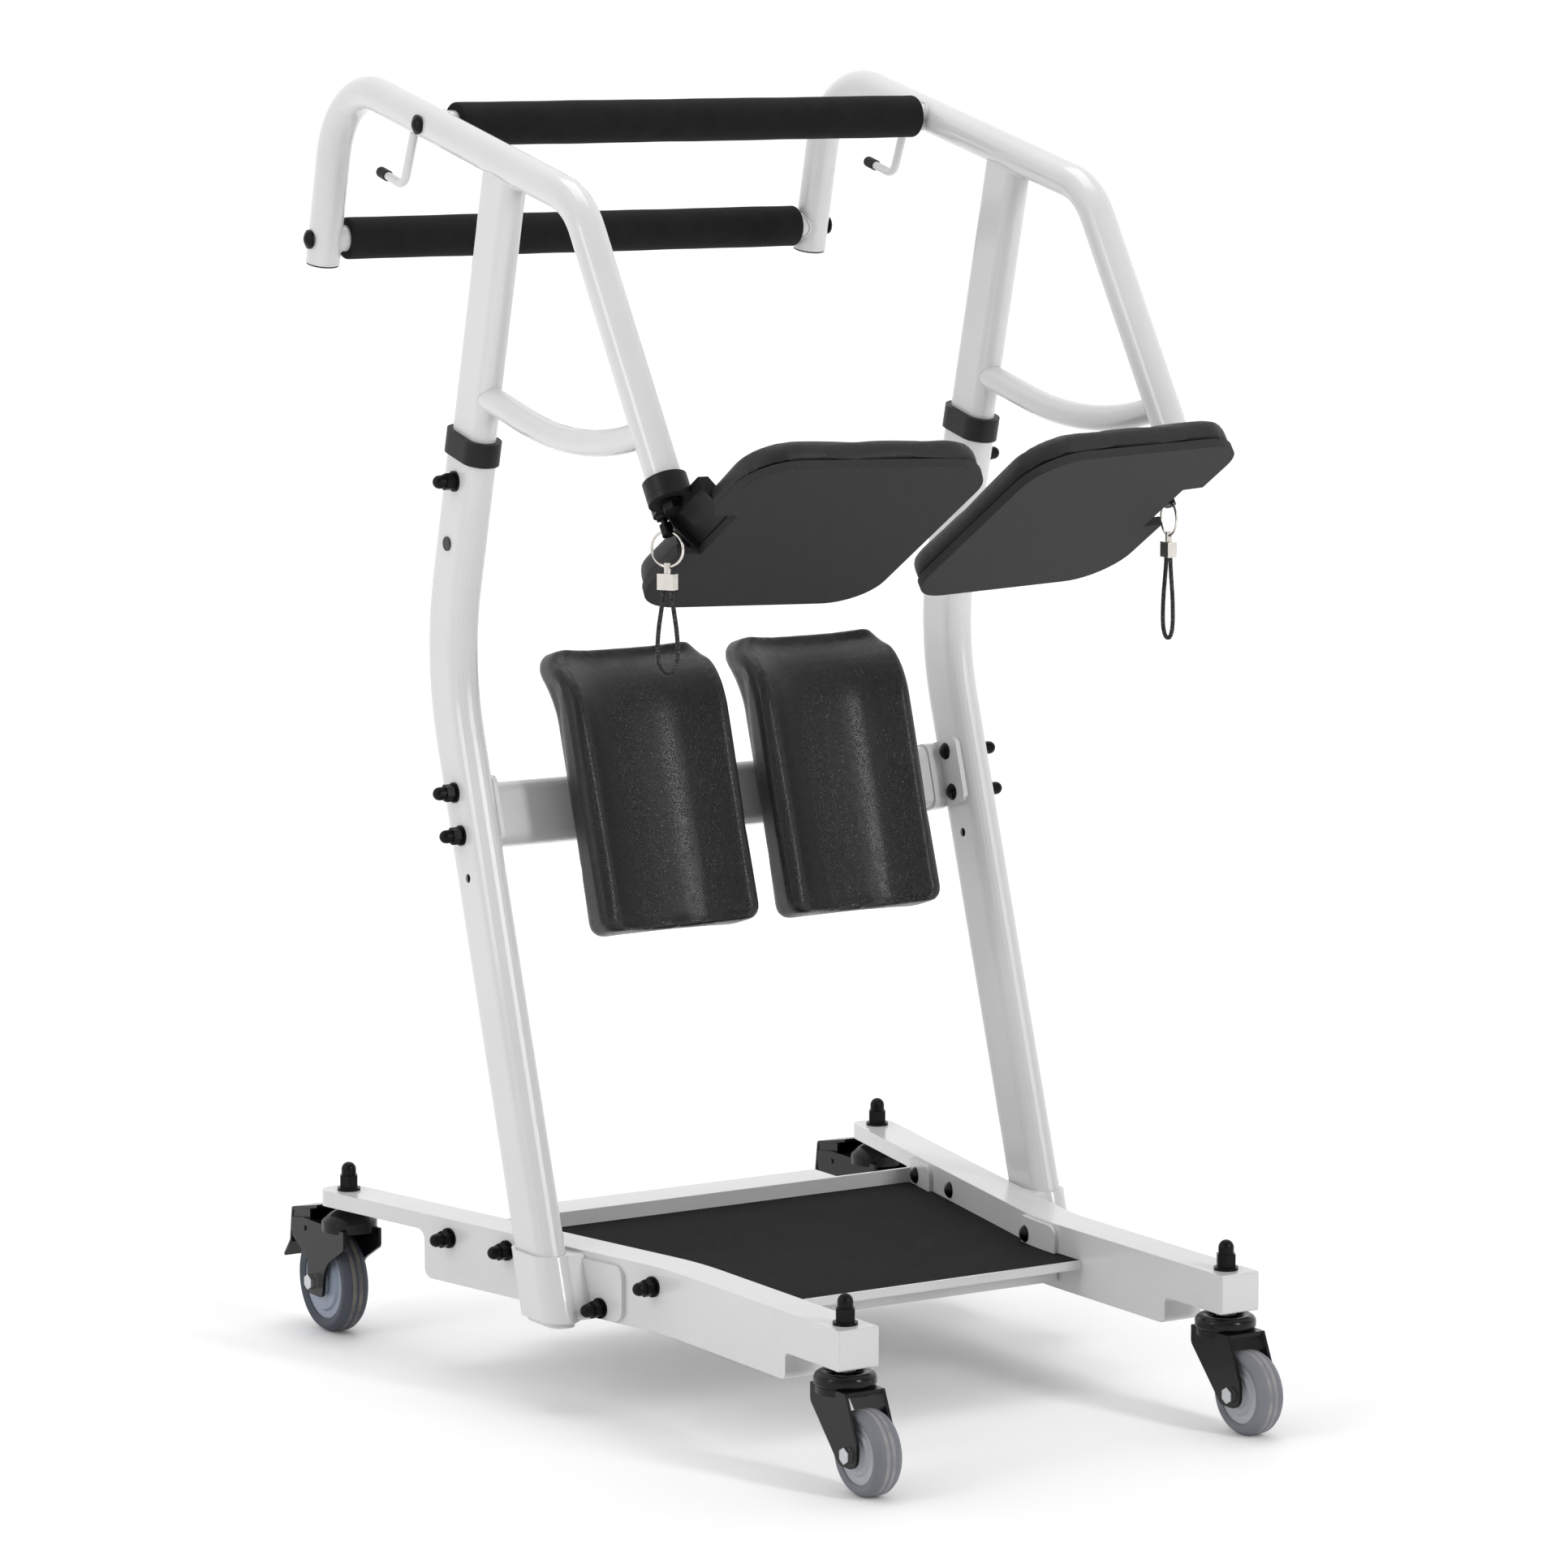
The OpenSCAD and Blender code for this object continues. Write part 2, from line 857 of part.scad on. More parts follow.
module grip_tubes() {
    half = side_x;
    insert = 16;
    color(white)
        for (g = grip_at)
            difference() {
                translate([-half, g[0], g[1]])
                    rotate([0, 90, 0])
                        cylinder(h = 2 * half, r = grip_r);
                translate([-half + tube_r + insert, g[0], g[1]])
                    rotate([0, 90, 0])
                        cylinder(h = 2 * (half - tube_r - insert), r = grip_r - 1.5);
                for (side = [-1, 1])
                    on_side(side) {
                        straight_cut(g);
                        translate([side_x - tube_r - 12, g[0], g[1]])
                            rotate([0, 90, 0])
                                cylinder(h = 40, r = bolt_r);
                    }
            }
}

// The handle tube's straight run through a point, as a solid to cope against
module straight_cut(g) {
    heading = g[0] < 300 ? along(handle_front, handle_top) : along(handle_end, handle_top);
    translate([side_x, g[0], g[1]])
        rotate([atan2(-heading[0], heading[1]), 0, 0])
            cylinder(h = 80, r = tube_r + 0.1, center = true);
    translate([side_x, g[0] - 40, g[1] - 40])
        cube([80, 80, 80]);
}

module foam_grips() {
    color(black)
        for (g = grip_at)
            translate([-foam_l / 2, g[0], g[1]])
            rotate([0, 90, 0])
                difference() {
                    cylinder(h = foam_l, r = foam_r);
                    translate([0, 0, -1])
                        cylinder(h = foam_l + 2, r = grip_r);
                }
}

module grip_bolts() {
    color(black)
        for (side = [-1, 1])
            on_side(side)
                for (g = grip_at)
                    translate([side_x, g[0], g[1]])
                        rotate([0, 90, 0]) {
                            translate([0, 0, -tube_r - 12])
                                cylinder(h = 2 * tube_r + 12, r = bolt_r);
                            translate([0, 0, tube_r])
                                cylinder(h = 2, r = 9);
                            translate([0, 0, tube_r + 2])
                                domed_head(8, 4);
                        }
}

hook_r = 4;
hook_line = [[255, 1144], [275.2, 1094.9], [319, 1105.8]];

module hook_run(r) {
    translate([side_x - 3, 0, 0])
        side_tube(hook_line, [12])
            circle(r = r);
}

// The last stretch of the hook, where its rubber tip sits
module hook_tip_zone(start) {
    tip = hook_line[2];
    heading = along(hook_line[1], tip);
    translate([side_x - 3, tip[0], tip[1]])
        rotate([atan2(-heading[0], heading[1]), 0, 0])
            translate([-20, -20, start])
                cube([40, 40, 60]);
}

module hooks() {
    color(white)
        for (side = [-1, 1])
            on_side(side)
                difference() {
                    hook_run(hook_r);
                    above_slope();
                    hook_tip_zone(-1 - seat_gap);
                }
}

module hook_tips() {
    tip = hook_line[2];
    heading = along(hook_line[1], tip);
    color(black)
        for (side = [-1, 1])
            on_side(side)
                translate([side_x - 3, tip[0], tip[1]])
                    rotate([atan2(-heading[0], heading[1]), 0, 0])
                        difference() {
                            union() {
                                translate([0, 0, -13])
                                    cylinder(h = 13, r = 5.2);
                                sphere(r = 5.2);
                            }
                            translate([0, 0, -14])
                                cylinder(h = 13, r = hook_r + seat_gap);
                        }
}

// ---------- seat hinge ----------
// All heights here are along the hinge axis, downwards from the tube's end.

hub_h = 14.8;
eye_z0 = -21;
eye_z1 = -15;
spigot_r = 8;
pin_at = [-6, 28];
pin_r = 3;
pin_travel = 5;
ear_r = 8.5;

module pin_ear(h) {
    reach = norm(pin_at);
    linear_extrude(h) {
        translate(pin_at)
            circle(r = ear_r);
        rotate(atan2(pin_at[1], pin_at[0]))
            translate([0, -ear_r])
                square([reach, 2 * ear_r]);
    }
}

module seat_hubs() {
    color(black)
        for (side = [-1, 1])
            on_side(side)
            hinge_frame()
                difference() {
                    union() {
                        translate([0, 0, -hub_h])
                            cylinder(h = hub_h - seat_gap, r = 20);
                        translate([0, 0, -hub_h])
                            pin_ear(5);
                        translate([0, 0, -1])
                            cylinder(h = 12, r = tube_r - tube_wall - 0.1);
                        translate([0, 0, eye_z0 - 0.2])
                            cylinder(h = 10, r = spigot_r);
                    }
                    translate([pin_at[0], pin_at[1], -hub_h - 1])
                        cylinder(h = 8, r = pin_r + 0.1);
                    translate([0, 0, eye_z0 - 1])
                        cylinder(h = 19, r = bolt_r);
                }
}

module pivot_bolts() {
    color(black)
        for (side = [-1, 1])
            on_side(side)
                hinge_frame() {
                    translate([0, 0, eye_z0 - 0.2])
                        cylinder(h = 16, r = bolt_r);
                    translate([0, 0, eye_z0 - 2.2])
                        cylinder(h = 2, r = 11);
                    translate([0, 0, eye_z0 - 9])
                        cylinder(h = 6.8, r = 9.2, $fn = 6);
                }
}

cant = 3.87;
base_t = 8;
base_z = -53.2;
bracket_half = 33;
notch_x = -36;

// The bracket's section across its width, as [x, height]
bracket_line = [[-12, -15], [-22, -15], [-38.5, -43.6], [-75, -46.1], [-75, -50.1],
                [-36.2, -47.5], [-19, -21], [-12, -21]];
flange_line = [[-13, -21], [-19, -21], [-36.2, -47.5], [-30, -51], [-15, -30]];

module bracket_slice(points, y0, y1) {
    translate([0, y1, 0])
        rotate([90, 0, 0])
            linear_extrude(y1 - y0)
                polygon(points);
}

module seat_bracket(side) {
    color(black)
        on_side(side)
            hinge_frame()
                difference() {
                    union() {
                        bracket_slice(bracket_line, -bracket_half, bracket_half);
                        bracket_slice(flange_line, -bracket_half, 3 - bracket_half);
                        bracket_slice(flange_line, bracket_half - 3, bracket_half);
                        translate([0, 0, eye_z0])
                            cylinder(h = eye_z1 - eye_z0, r = 20);
                        translate([0, 0, eye_z0])
                            pin_ear(eye_z1 - eye_z0);
                        translate([pin_at[0], pin_at[1], eye_z0 - 3])
                            cylinder(h = 4, r = 7, $fn = 6);
                    }
                    translate([0, 0, eye_z0 - 1])
                        cylinder(h = 10, r = spigot_r + 0.06);
                    translate([pin_at[0], pin_at[1], eye_z0 - 10])
                        cylinder(h = 20, r = pin_r + 0.06);
                }
}

// Outline of a seat pad: its inner edge, near the other pad, is at the most negative x
seat_outline = rounded([[-250, -135.4], [-15, -121.3], [-15, 142.3], [-250, 128.2]],
                       [46, 46, 46, 46], 10);

module seat_frame() {
    hinge_frame()
        translate([0, 0, base_z])
            rotate([0, -cant, 0])
                children();
}

module bracket_notch() {
    translate([notch_x - 1.5, -bracket_half - 3, -5])
        cube([60, 2 * bracket_half + 6, 60]);
}

module seat_base(side) {
    color("dimgray")
        on_side(side)
            seat_frame()
                difference() {
                    linear_extrude(base_t)
                        polygon(seat_outline);
                    bracket_notch();
                }
}

module seat_pad(side) {
    color(black)
        on_side(side)
            seat_frame()
                difference() {
                    translate([0, 0, base_t])
                        linear_extrude(seat_t - base_t)
                            polygon(seat_outline);
                    bracket_notch();
                    translate([-77, -bracket_half - 1, base_t - 1])
                        cube([60, 2 * bracket_half + 2, 5.6]);
                }
}

// ---------- lock pin, ring and lanyard ----------

ring_hole_z = -35.5;
ring_r = 15.5;
wire_r = 1.1;
// Turn of each ring about the vertical, left then right
ring_turns = [-60, 81];
hang = [side_x + pin_at[0],
        hub[0] + pin_at[1] * cos(hinge_lean) + ring_hole_z * sin(hinge_lean),
        hub[1] - pin_at[1] * sin(hinge_lean) + ring_hole_z * cos(hinge_lean)];

// The point that a ring hangs from: X runs in the ring's plane and +Z is up
module hanging(side) {
    translate([side * hang[0], hang[1], hang[2]])
        rotate([0, 0, side < 0 ? ring_turns[0] : ring_turns[1]])
            children();
}

module lock_pin(side) {
    color(black)
        difference() {
            on_side(side)
                hinge_frame()
                    translate([pin_at[0], pin_at[1], 0]) {
                        translate([0, 0, -39])
                            cylinder(h = 39 - 15.3, r = pin_r);
                        translate([0, 0, -40])
                            cylinder(h = 10.8, r = 5.5);
                    }
            hanging(side)
                translate([0, 0, -0.7])
                    rotate([0, 90, 0])
                        cylinder(h = 30, r = 2.1, center = true);
        }
}

ferrule_w = 16;
ferrule_z1 = -37;
ferrule_z0 = -51;
cord_r = 2;

module pull_ring(side) {
    color(zinc)
        hanging(side) {
            translate([0, 0, -ring_r])
                rotate([90, 0, 0])
                    rotate_extrude()
                        translate([ring_r, 0])
                            circle(r = wire_r, $fn = 24);
            difference() {
                union() {
                    translate([0, 0, ferrule_z1 - 1])
                        cylinder(h = 10.5, r = 3);
                    translate([-ferrule_w / 2, -4.5, ferrule_z0])
                        cube([ferrule_w, 9, ferrule_z1 - ferrule_z0]);
                }
                translate([0, 0, -2 * ring_r])
                    rotate([0, 90, 0])
                        cylinder(h = 20, r = 1.6, center = true);
                for (side_x0 = [-4, 4])
                    translate([side_x0, 0, ferrule_z0 - 1])
                        cylinder(h = 9, r = cord_r);
            }
        }
}

// Half of the lanyard's loop below the point it hangs from, as [sideways, height]
loop_half = [[4, -43.5], [4, -50], [4.5, -57], [5.5, -65], [7, -74], [8.5, -83], [9.5, -92],
             [10, -101], [10, -109], [9, -116], [6.5, -121.5], [3.5, -124.3]];
loop_points = concat(loop_half, [[0, -125]],
                     [for (i = [len(loop_half) - 1 : -1 : 0]) [-loop_half[i][0],
                                                               loop_half[i][1]]]);

// A round cord swept along points of one plane, as one closed polyhedron
module flat_cord(points, r, sides) {
    n = len(points);
    verts = [for (i = [0 : n - 1])
        let (a = points[max(i - 1, 0)], b = points[min(i + 1, n - 1)], t = along(a, b),
             side = [-t[1], t[0]])
        for (k = [0 : sides - 1])
            let (w = 360 * (k + 0.5) / sides)
            [points[i][0] + r * cos(w) * side[0], r * sin(w), points[i][1] + r * cos(w) * side[1]]];
    faces = concat(
        [[for (k = [0 : sides - 1]) k]],
        [for (i = [0 : n - 2])
            for (k = [0 : sides - 1])
                let (next = (k + 1) % sides)
                [i * sides + next, i * sides + k, (i + 1) * sides + k, (i + 1) * sides + next]],
        [[for (k = [sides - 1 : -1 : 0]) (n - 1) * sides + k]]);
    polyhedron(verts, faces, convexity = 4);
}

module lanyard(side) {
    color(black)
        hanging(side)
            flat_cord(loop_points, cord_r - 0.02, 8);
}

// ---------- casters ----------

front_axle = [-36, 37.5];
rear_axle = [33, 50];
leg_in = 17.5;
leg_out = 20.5;
axle_r = 4;

module at_stem(side, stem) {
    translate([side * stem[0], stem[1], 0])
        children();
}

// A kingpin with its shoulder under the rail and its riveted foot under the fork's crown
module stem_bolt(foot_z0, shoulder_z0, under_z, shoulder_r) {
    translate([0, 0, foot_z0])
        cylinder(h = rail_top + 12 - foot_z0, r = stem_r);
    translate([0, 0, shoulder_z0])
        cylinder(h = under_z - shoulder_z0, r = shoulder_r, $fn = 6);
}

module caster_stems() {
    color(zinc)
        for (side = [-1, 1]) {
            at_stem(side, front_stem) {
                stem_bolt(81, 102.1, notch_z, 10.4);
                translate([0, 0, 79])
                    cylinder(h = 4.9, r = 8);
            }
            at_stem(side, rear_stem) {
                stem_bolt(101.5, 125.1, arm_z, 10.4);
                translate([0, 0, 101.4])
                    cylinder(h = 2.5, r = 8);
            }
        }
}

// Axle bolt across a fork, with a hex head and a hex nut outside its legs
module axle(at, half) {
    translate([0, at[0], at[1]])
        rotate([0, 90, 0]) {
            cylinder(h = 2 * half, r = axle_r, center = true);
            for (end = [0, 1])
                mirror([0, 0, end])
                    translate([0, 0, leg_out])
                        cylinder(h = half - leg_out, r = 7.5, $fn = 6);
        }
}

module fork_legs(outline) {
    for (side = [0, 1])
        mirror([side, 0, 0])
            across(leg_in, leg_out)
                polygon(outline);
}

front_leg = rounded([[24, 90], [24, 74], [-22, 26], [-50, 26], [-50, 48], [-31, 90]],
                    [0, 8, 12, 12, 12, 0]);

module front_fork(side) {
    color(black)
        at_stem(side, front_stem) {
            difference() {
                union() {
                    fork_legs(front_leg);
                    translate([0, 0, 84])
                        cylinder(h = 6, r = 26);
                    translate([-leg_out, -31, 86])
                        cube([2 * leg_out, 40, 4]);
                    rotate_extrude()
                        polygon(rounded([[14.5, 90], [27.5, 90], [27.5, 102], [14.5, 102]],
                                        [0, 3, 5.9, 5.9]));
                    translate([0, 0, 89])
                        cylinder(h = 13, r = 9);
                }
                translate([0, 0, 80])
                    cylinder(h = 30, r = stem_r + 0.06);
                translate([0, 0, 80])
                    cylinder(h = 4, r = 8.2);
            }
            axle(front_axle, 25);
        }
}

// A tyre turned around X, from the radius of its seat to its tread
module tyre(r, w, seat_r) {
    color("slategray")
        rotate([0, 90, 0])
            rotate_extrude($fn = 128)
                polygon(rounded([[seat_r, -w / 2 + 3], [r - 5, -w / 2], [r, -w / 2 + 7],
                                 [r, w / 2 - 7], [r - 5, w / 2], [seat_r, w / 2 - 3]],
                                [0, 4, 6, 6, 4, 0], 4));
}

// A wheel's hub, with a raised boss around its axle and a flange under the tyre
module wheel_hub(w, seat_r, hub_w) {
    color("lightsteelblue")
        rotate([0, 90, 0])
            rotate_extrude($fn = 128)
                polygon([[axle_r + 0.05, -hub_w / 2], [12, -hub_w / 2], [14, 4 - hub_w / 2],
                         [seat_r - 9, 4 - hub_w / 2], [seat_r - 7, 4 - w / 2],
                         [seat_r, 4 - w / 2], [seat_r, w / 2 - 4],
                         [seat_r - 7, w / 2 - 4], [seat_r - 9, hub_w / 2 - 4],
                         [14, hub_w / 2 - 4], [12, hub_w / 2], [axle_r + 0.05, hub_w / 2]]);
}

module front_tyre(side) {
    at_stem(side, front_stem)
        translate([0, front_axle[0], front_axle[1]])
            tyre(front_wheel_r, front_tyre_w, 27);
}

module front_hub(side) {
    at_stem(side, front_stem)
        translate([0, front_axle[0], front_axle[1]])
            wheel_hub(front_tyre_w, 27, 34);
}

module rear_tyre(side) {
    at_stem(side, rear_stem)
        translate([0, rear_axle[0], rear_axle[1]])
            tyre(rear_wheel_r, rear_tyre_w, 37);
}

module rear_hub(side) {
    at_stem(side, rear_stem)
        translate([0, rear_axle[0], rear_axle[1]])
            wheel_hub(rear_tyre_w, 37, 34);
}

rear_leg = rounded([[-26, 108], [-26, 90], [14, 68], [18, 36], [48, 36], [48, 68], [62, 78],
                    [78, 86], [81, 104], [56, 108]],
                   [0, 6, 30, 6, 6, 6, 6, 4, 3, 3]);
pedal_pivot = [53, 98];
pedal_pin_r = 2.5;

module rear_fork(side) {
    color(black)
        at_stem(side, rear_stem) {
            difference() {
                union() {
                    fork_legs(rear_leg);
                    translate([0, 0, 104])
                        cylinder(h = 4, r = 26.5);
                    translate([-leg_out, 0, 104])
                        cube([2 * leg_out, 40, 4]);
                    translate([0, 0, 108])
                        intersection() {
                            cylinder(h = 17, r = 26.5);
                            translate([0, 0, -18])
                                sphere(r = 35.4);
                        }
                }
                translate([0, 0, 100])
                    cylinder(h = 30, r = stem_r + 0.06);
            }
            axle(rear_axle, 28.5);
            for (end = [0, 1])
                mirror([end, 0, 0])
                    translate([leg_in - 2.6, pedal_pivot[0], pedal_pivot[1]])
                        rotate([0, 90, 0])
                            cylinder(h = 6.8, r = pedal_pin_r);
        }
}

// The pedal's top and rear plates as one bent strip, seen from the side
pedal_strip = rounded([[32, 124], [84, 113.5], [88.5, 80], [101.5, 64], [99, 62.5],
                       [85.5, 79], [81.5, 110.5], [32, 121]],
                      [0, 4, 6, 1, 0, 6, 2, 0]);
brake_shoe = [[70, 90], [78, 82], [87, 88], [86, 96], [74, 96]];
pedal_ear = [[47, 92.5], [58, 92.5], [83.5, 92.5], [82, 111], [47, 118.4]];

module brake_pedal(side) {
    ear_x = 14.9;
    color(black)
        at_stem(side, rear_stem)
            difference() {
                union() {
                    across(-18, 18)
                        polygon(pedal_strip);
                    for (end = [0, 1])
                        mirror([end, 0, 0])
                            across(ear_x, leg_in - 0.1)
                                polygon(pedal_ear);
                    across(-ear_x, ear_x)
                        polygon(brake_shoe);
                }
                translate([-30, pedal_pivot[0], pedal_pivot[1]])
                    rotate([0, 90, 0])
                        cylinder(h = 60, r = pedal_pin_r + 0.05);
            }
}

rail(-1);  // rail_left
rail(1);  // rail_right
rear_crossbar();
front_crossbar();
foot_tray();
foot_mat();
mast_socket(-1);  // mast_socket_left
mast_socket(1);  // mast_socket_right
lower_mast(-1);  // lower_mast_left
lower_mast(1);  // lower_mast_right
mast_collars();
mast_plugs();
height_lock_screws();
knee_bar();
knee_pad_brackets();
knee_pad(-1);  // knee_pad_left
knee_pad(1);  // knee_pad_right
frame_bolts();
acorn_nuts();
caster_stems();
inner_mast(-1);  // inner_mast_left
inner_mast(1);  // inner_mast_right
handle_tube(-1);  // handle_tube_left
handle_tube(1);  // handle_tube_right
braces();
tube_end_plugs();
grip_tubes();
foam_grips();
grip_bolts();
hooks();
hook_tips();
seat_hubs();
pivot_bolts();
seat_bracket(-1);  // seat_bracket_left
seat_bracket(1);  // seat_bracket_right
seat_base(-1);  // seat_base_left
seat_base(1);  // seat_base_right
seat_pad(-1);  // seat_pad_left
seat_pad(1);  // seat_pad_right
lock_pin(-1);  // lock_pin_left
lock_pin(1);  // lock_pin_right
pull_ring(-1);  // pull_ring_left
pull_ring(1);  // pull_ring_right
lanyard(-1);  // lanyard_left
lanyard(1);  // lanyard_right
front_fork(-1);  // front_fork_left
front_fork(1);  // front_fork_right
front_tyre(-1);  // front_tyre_left
front_tyre(1);  // front_tyre_right
front_hub(-1);  // front_hub_left
front_hub(1);  // front_hub_right
rear_fork(-1);  // rear_fork_left
rear_fork(1);  // rear_fork_right
rear_tyre(-1);  // rear_tyre_left
rear_tyre(1);  // rear_tyre_right
rear_hub(-1);  // rear_hub_left
rear_hub(1);  // rear_hub_right
brake_pedal(-1);  // brake_pedal_left
brake_pedal(1);  // brake_pedal_right
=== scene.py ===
"""The sit to stand lift's looks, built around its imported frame. Lengths are in metres, and the
right side is +X."""

import math

import bmesh
import bpy
import numpy as np
from mathutils import Matrix, Vector


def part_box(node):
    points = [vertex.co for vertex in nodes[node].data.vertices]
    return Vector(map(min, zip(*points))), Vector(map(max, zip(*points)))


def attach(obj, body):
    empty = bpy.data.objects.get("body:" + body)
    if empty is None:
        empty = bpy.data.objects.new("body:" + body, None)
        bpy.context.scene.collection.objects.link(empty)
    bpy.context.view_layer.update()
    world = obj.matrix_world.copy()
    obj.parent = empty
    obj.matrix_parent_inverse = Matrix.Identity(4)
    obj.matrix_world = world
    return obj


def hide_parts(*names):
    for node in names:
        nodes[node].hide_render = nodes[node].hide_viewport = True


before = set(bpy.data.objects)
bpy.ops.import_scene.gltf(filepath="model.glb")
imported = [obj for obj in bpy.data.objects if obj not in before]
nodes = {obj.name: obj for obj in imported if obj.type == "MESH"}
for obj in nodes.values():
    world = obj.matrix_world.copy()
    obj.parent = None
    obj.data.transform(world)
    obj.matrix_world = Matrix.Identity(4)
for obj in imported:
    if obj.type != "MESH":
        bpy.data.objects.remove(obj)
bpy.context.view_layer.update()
SIDES = (("left", -1), ("right", 1))

# ---------- camera, light and floor ----------

YAW, PITCH = math.radians(32.10), math.radians(7.93)
camera = bpy.data.objects.new("camera", bpy.data.cameras.new("camera"))
bpy.context.scene.collection.objects.link(camera)
camera.data.lens = 136.0
camera.data.sensor_width = 36
camera.location = (-2.8852, -4.5536, 1.3017)
camera.rotation_euler = (math.pi / 2 - PITCH, 0, -YAW)
camera.data.clip_start, camera.data.clip_end = 0.1, 100
bpy.context.scene.camera = camera


def area_light(name, place, target, size, watts):
    """A rectangular lamp of this width and height, facing its target."""
    lamp = bpy.data.lights.new(name, "AREA")
    lamp.shape, lamp.size, lamp.size_y = "RECTANGLE", size[0], size[1]
    lamp.energy = watts
    o = bpy.data.objects.new(name, lamp)
    bpy.context.scene.collection.objects.link(o)
    o.location = place
    o.rotation_euler = (Vector(target) - Vector(place)).to_track_quat("-Z", "Y").to_euler()


world = bpy.data.worlds.new("studio")
bpy.context.scene.world = world
world.use_nodes = True


# The backdrop's strength rises from dim to bright as a ray's direction goes from FADE's first
# Y to its second
FADE, DIM, BRIGHT = (-0.6, 0.1), 0.38, 1.04


def backdrop(tree):
    """A white studio that is a little dimmer on its -Y side."""
    place = tree.nodes.new("ShaderNodeTexCoord")
    parts = tree.nodes.new("ShaderNodeSeparateXYZ")
    spread = tree.nodes.new("ShaderNodeMapRange")
    spread.interpolation_type = "SMOOTHSTEP"
    for socket, value in zip(spread.inputs[1:5], (*FADE, DIM, BRIGHT)):
        socket.default_value = value
    tree.links.new(place.outputs["Generated"], parts.inputs[0])
    tree.links.new(parts.outputs[1], spread.inputs[0])
    tree.links.new(spread.outputs[0], tree.nodes["Background"].inputs[1])
    tree.nodes["Background"].inputs[0].default_value = (1, 1, 1, 1)


backdrop(world.node_tree)
bpy.context.scene.view_settings.view_transform = "Standard"
area_light("key", (1.0, -3.3, 1.95), (0, 0, 0.6), (0.45, 1.7), 50)
area_light("left", (-3.3, -0.3, 1.9), (0, 0, 0.7), (0.7, 2.0), 17)
area_light("top", (0.2, 0.6, 3.4), (0, 0, 0.5), (1.8, 1.8), 26)

# ---------- materials ----------


class Paint:
    """A procedural material around one Principled shader. Its texture space is the row frame."""

    def __init__(self, name, colour, roughness, metallic=0.0, coat=0.0, specular=0.5):
        self.material = bpy.data.materials.new(name)
        self.material.use_nodes = True
        self.tree = self.material.node_tree
        self.shader = self.tree.nodes["Principled BSDF"]
        self.shader.inputs["Base Color"].default_value = (*colour, 1)
        self.shader.inputs["Roughness"].default_value = roughness
        self.shader.inputs["Metallic"].default_value = metallic
        self.shader.inputs["Coat Weight"].default_value = coat
        self.shader.inputs["Coat Roughness"].default_value = 0.06
        self.shader.inputs["Specular IOR Level"].default_value = specular
        self.place = self.tree.nodes.new("ShaderNodeTexCoord").outputs["Object"]
        self.relief = None
        self.edge = None

    def math(self, operation, *values):
        node = self.tree.nodes.new("ShaderNodeMath")
        node.operation = operation
        for socket, value in zip(node.inputs, values):
            if hasattr(value, "is_output"):
                self.tree.links.new(value, socket)
            else:
                socket.default_value = value
        return node.outputs[0]

    def noise(self, scale, detail=3.0):
        node = self.tree.nodes.new("ShaderNodeTexNoise")
        node.inputs["Scale"].default_value = scale
        node.inputs["Detail"].default_value = detail
        self.tree.links.new(self.place, node.inputs["Vector"])
        return node.outputs["Fac"]

    def cells(self, scale, feature="DISTANCE_TO_EDGE"):
        node = self.tree.nodes.new("ShaderNodeTexVoronoi")
        node.feature = feature
        node.inputs["Scale"].default_value = scale
        self.tree.links.new(self.place, node.inputs["Vector"])
        return node.outputs["Distance"]

    def ramp(self, value, *stops):
        node = self.tree.nodes.new("ShaderNodeValToRGB")
        while len(node.color_ramp.elements) < len(stops):
            node.color_ramp.elements.new(0.5)
        for element, (at, colour) in zip(node.color_ramp.elements, stops):
            element.position = at
            element.color = (*colour, 1)
        self.tree.links.new(value, node.inputs[0])
        return node.outputs[0]

    def mix(self, factor, under, colour):
        """The output under, with a plain colour over it as far as the factor says."""
        node = self.tree.nodes.new("ShaderNodeMix")
        node.data_type = "RGBA"
        self.tree.links.new(factor, node.inputs["Factor"])
        self.tree.links.new(under, node.inputs[6])
        node.inputs[7].default_value = (*colour, 1)
        return node.outputs[2]

    def axes(self):
        node = self.tree.nodes.new("ShaderNodeSeparateXYZ")
        self.tree.links.new(self.place, node.inputs[0])
        return node.outputs

    def off_plane(self, middle):
        """Distance from the planes x = middle and x = -middle."""
        return self.math("ABSOLUTE", self.math("SUBTRACT", self.math("ABSOLUTE", self.axes()[0]),
                                               middle))

    def feed(self, value, socket):
        self.tree.links.new(value, self.shader.inputs[socket])

    def vary(self, value, low, high, socket="Roughness"):
        """Feeds a value from 0 to 1 into a socket, spread from low to high."""
        node = self.tree.nodes.new("ShaderNodeMapRange")
        self.tree.links.new(value, node.inputs[0])
        node.inputs[3].default_value, node.inputs[4].default_value = low, high
        self.feed(node.outputs[0], socket)

    def soften_edges(self, radius):
        node = self.tree.nodes.new("ShaderNodeBevel")
        node.samples = 4
        node.inputs["Radius"].default_value = radius
        self.edge = node.outputs[0]
        self.tree.links.new(self.edge, self.shader.inputs["Normal"])

    def bump(self, height, distance, strength=1.0):
        node = self.tree.nodes.new("ShaderNodeBump")
        node.inputs["Strength"].default_value = strength
        node.inputs["Distance"].default_value = distance
        self.tree.links.new(height, node.inputs["Height"])
        under = self.relief or self.edge
        if under:
            self.tree.links.new(under, node.inputs["Normal"])
        self.relief = node.outputs[0]
        self.tree.links.new(self.relief, self.shader.inputs["Normal"])


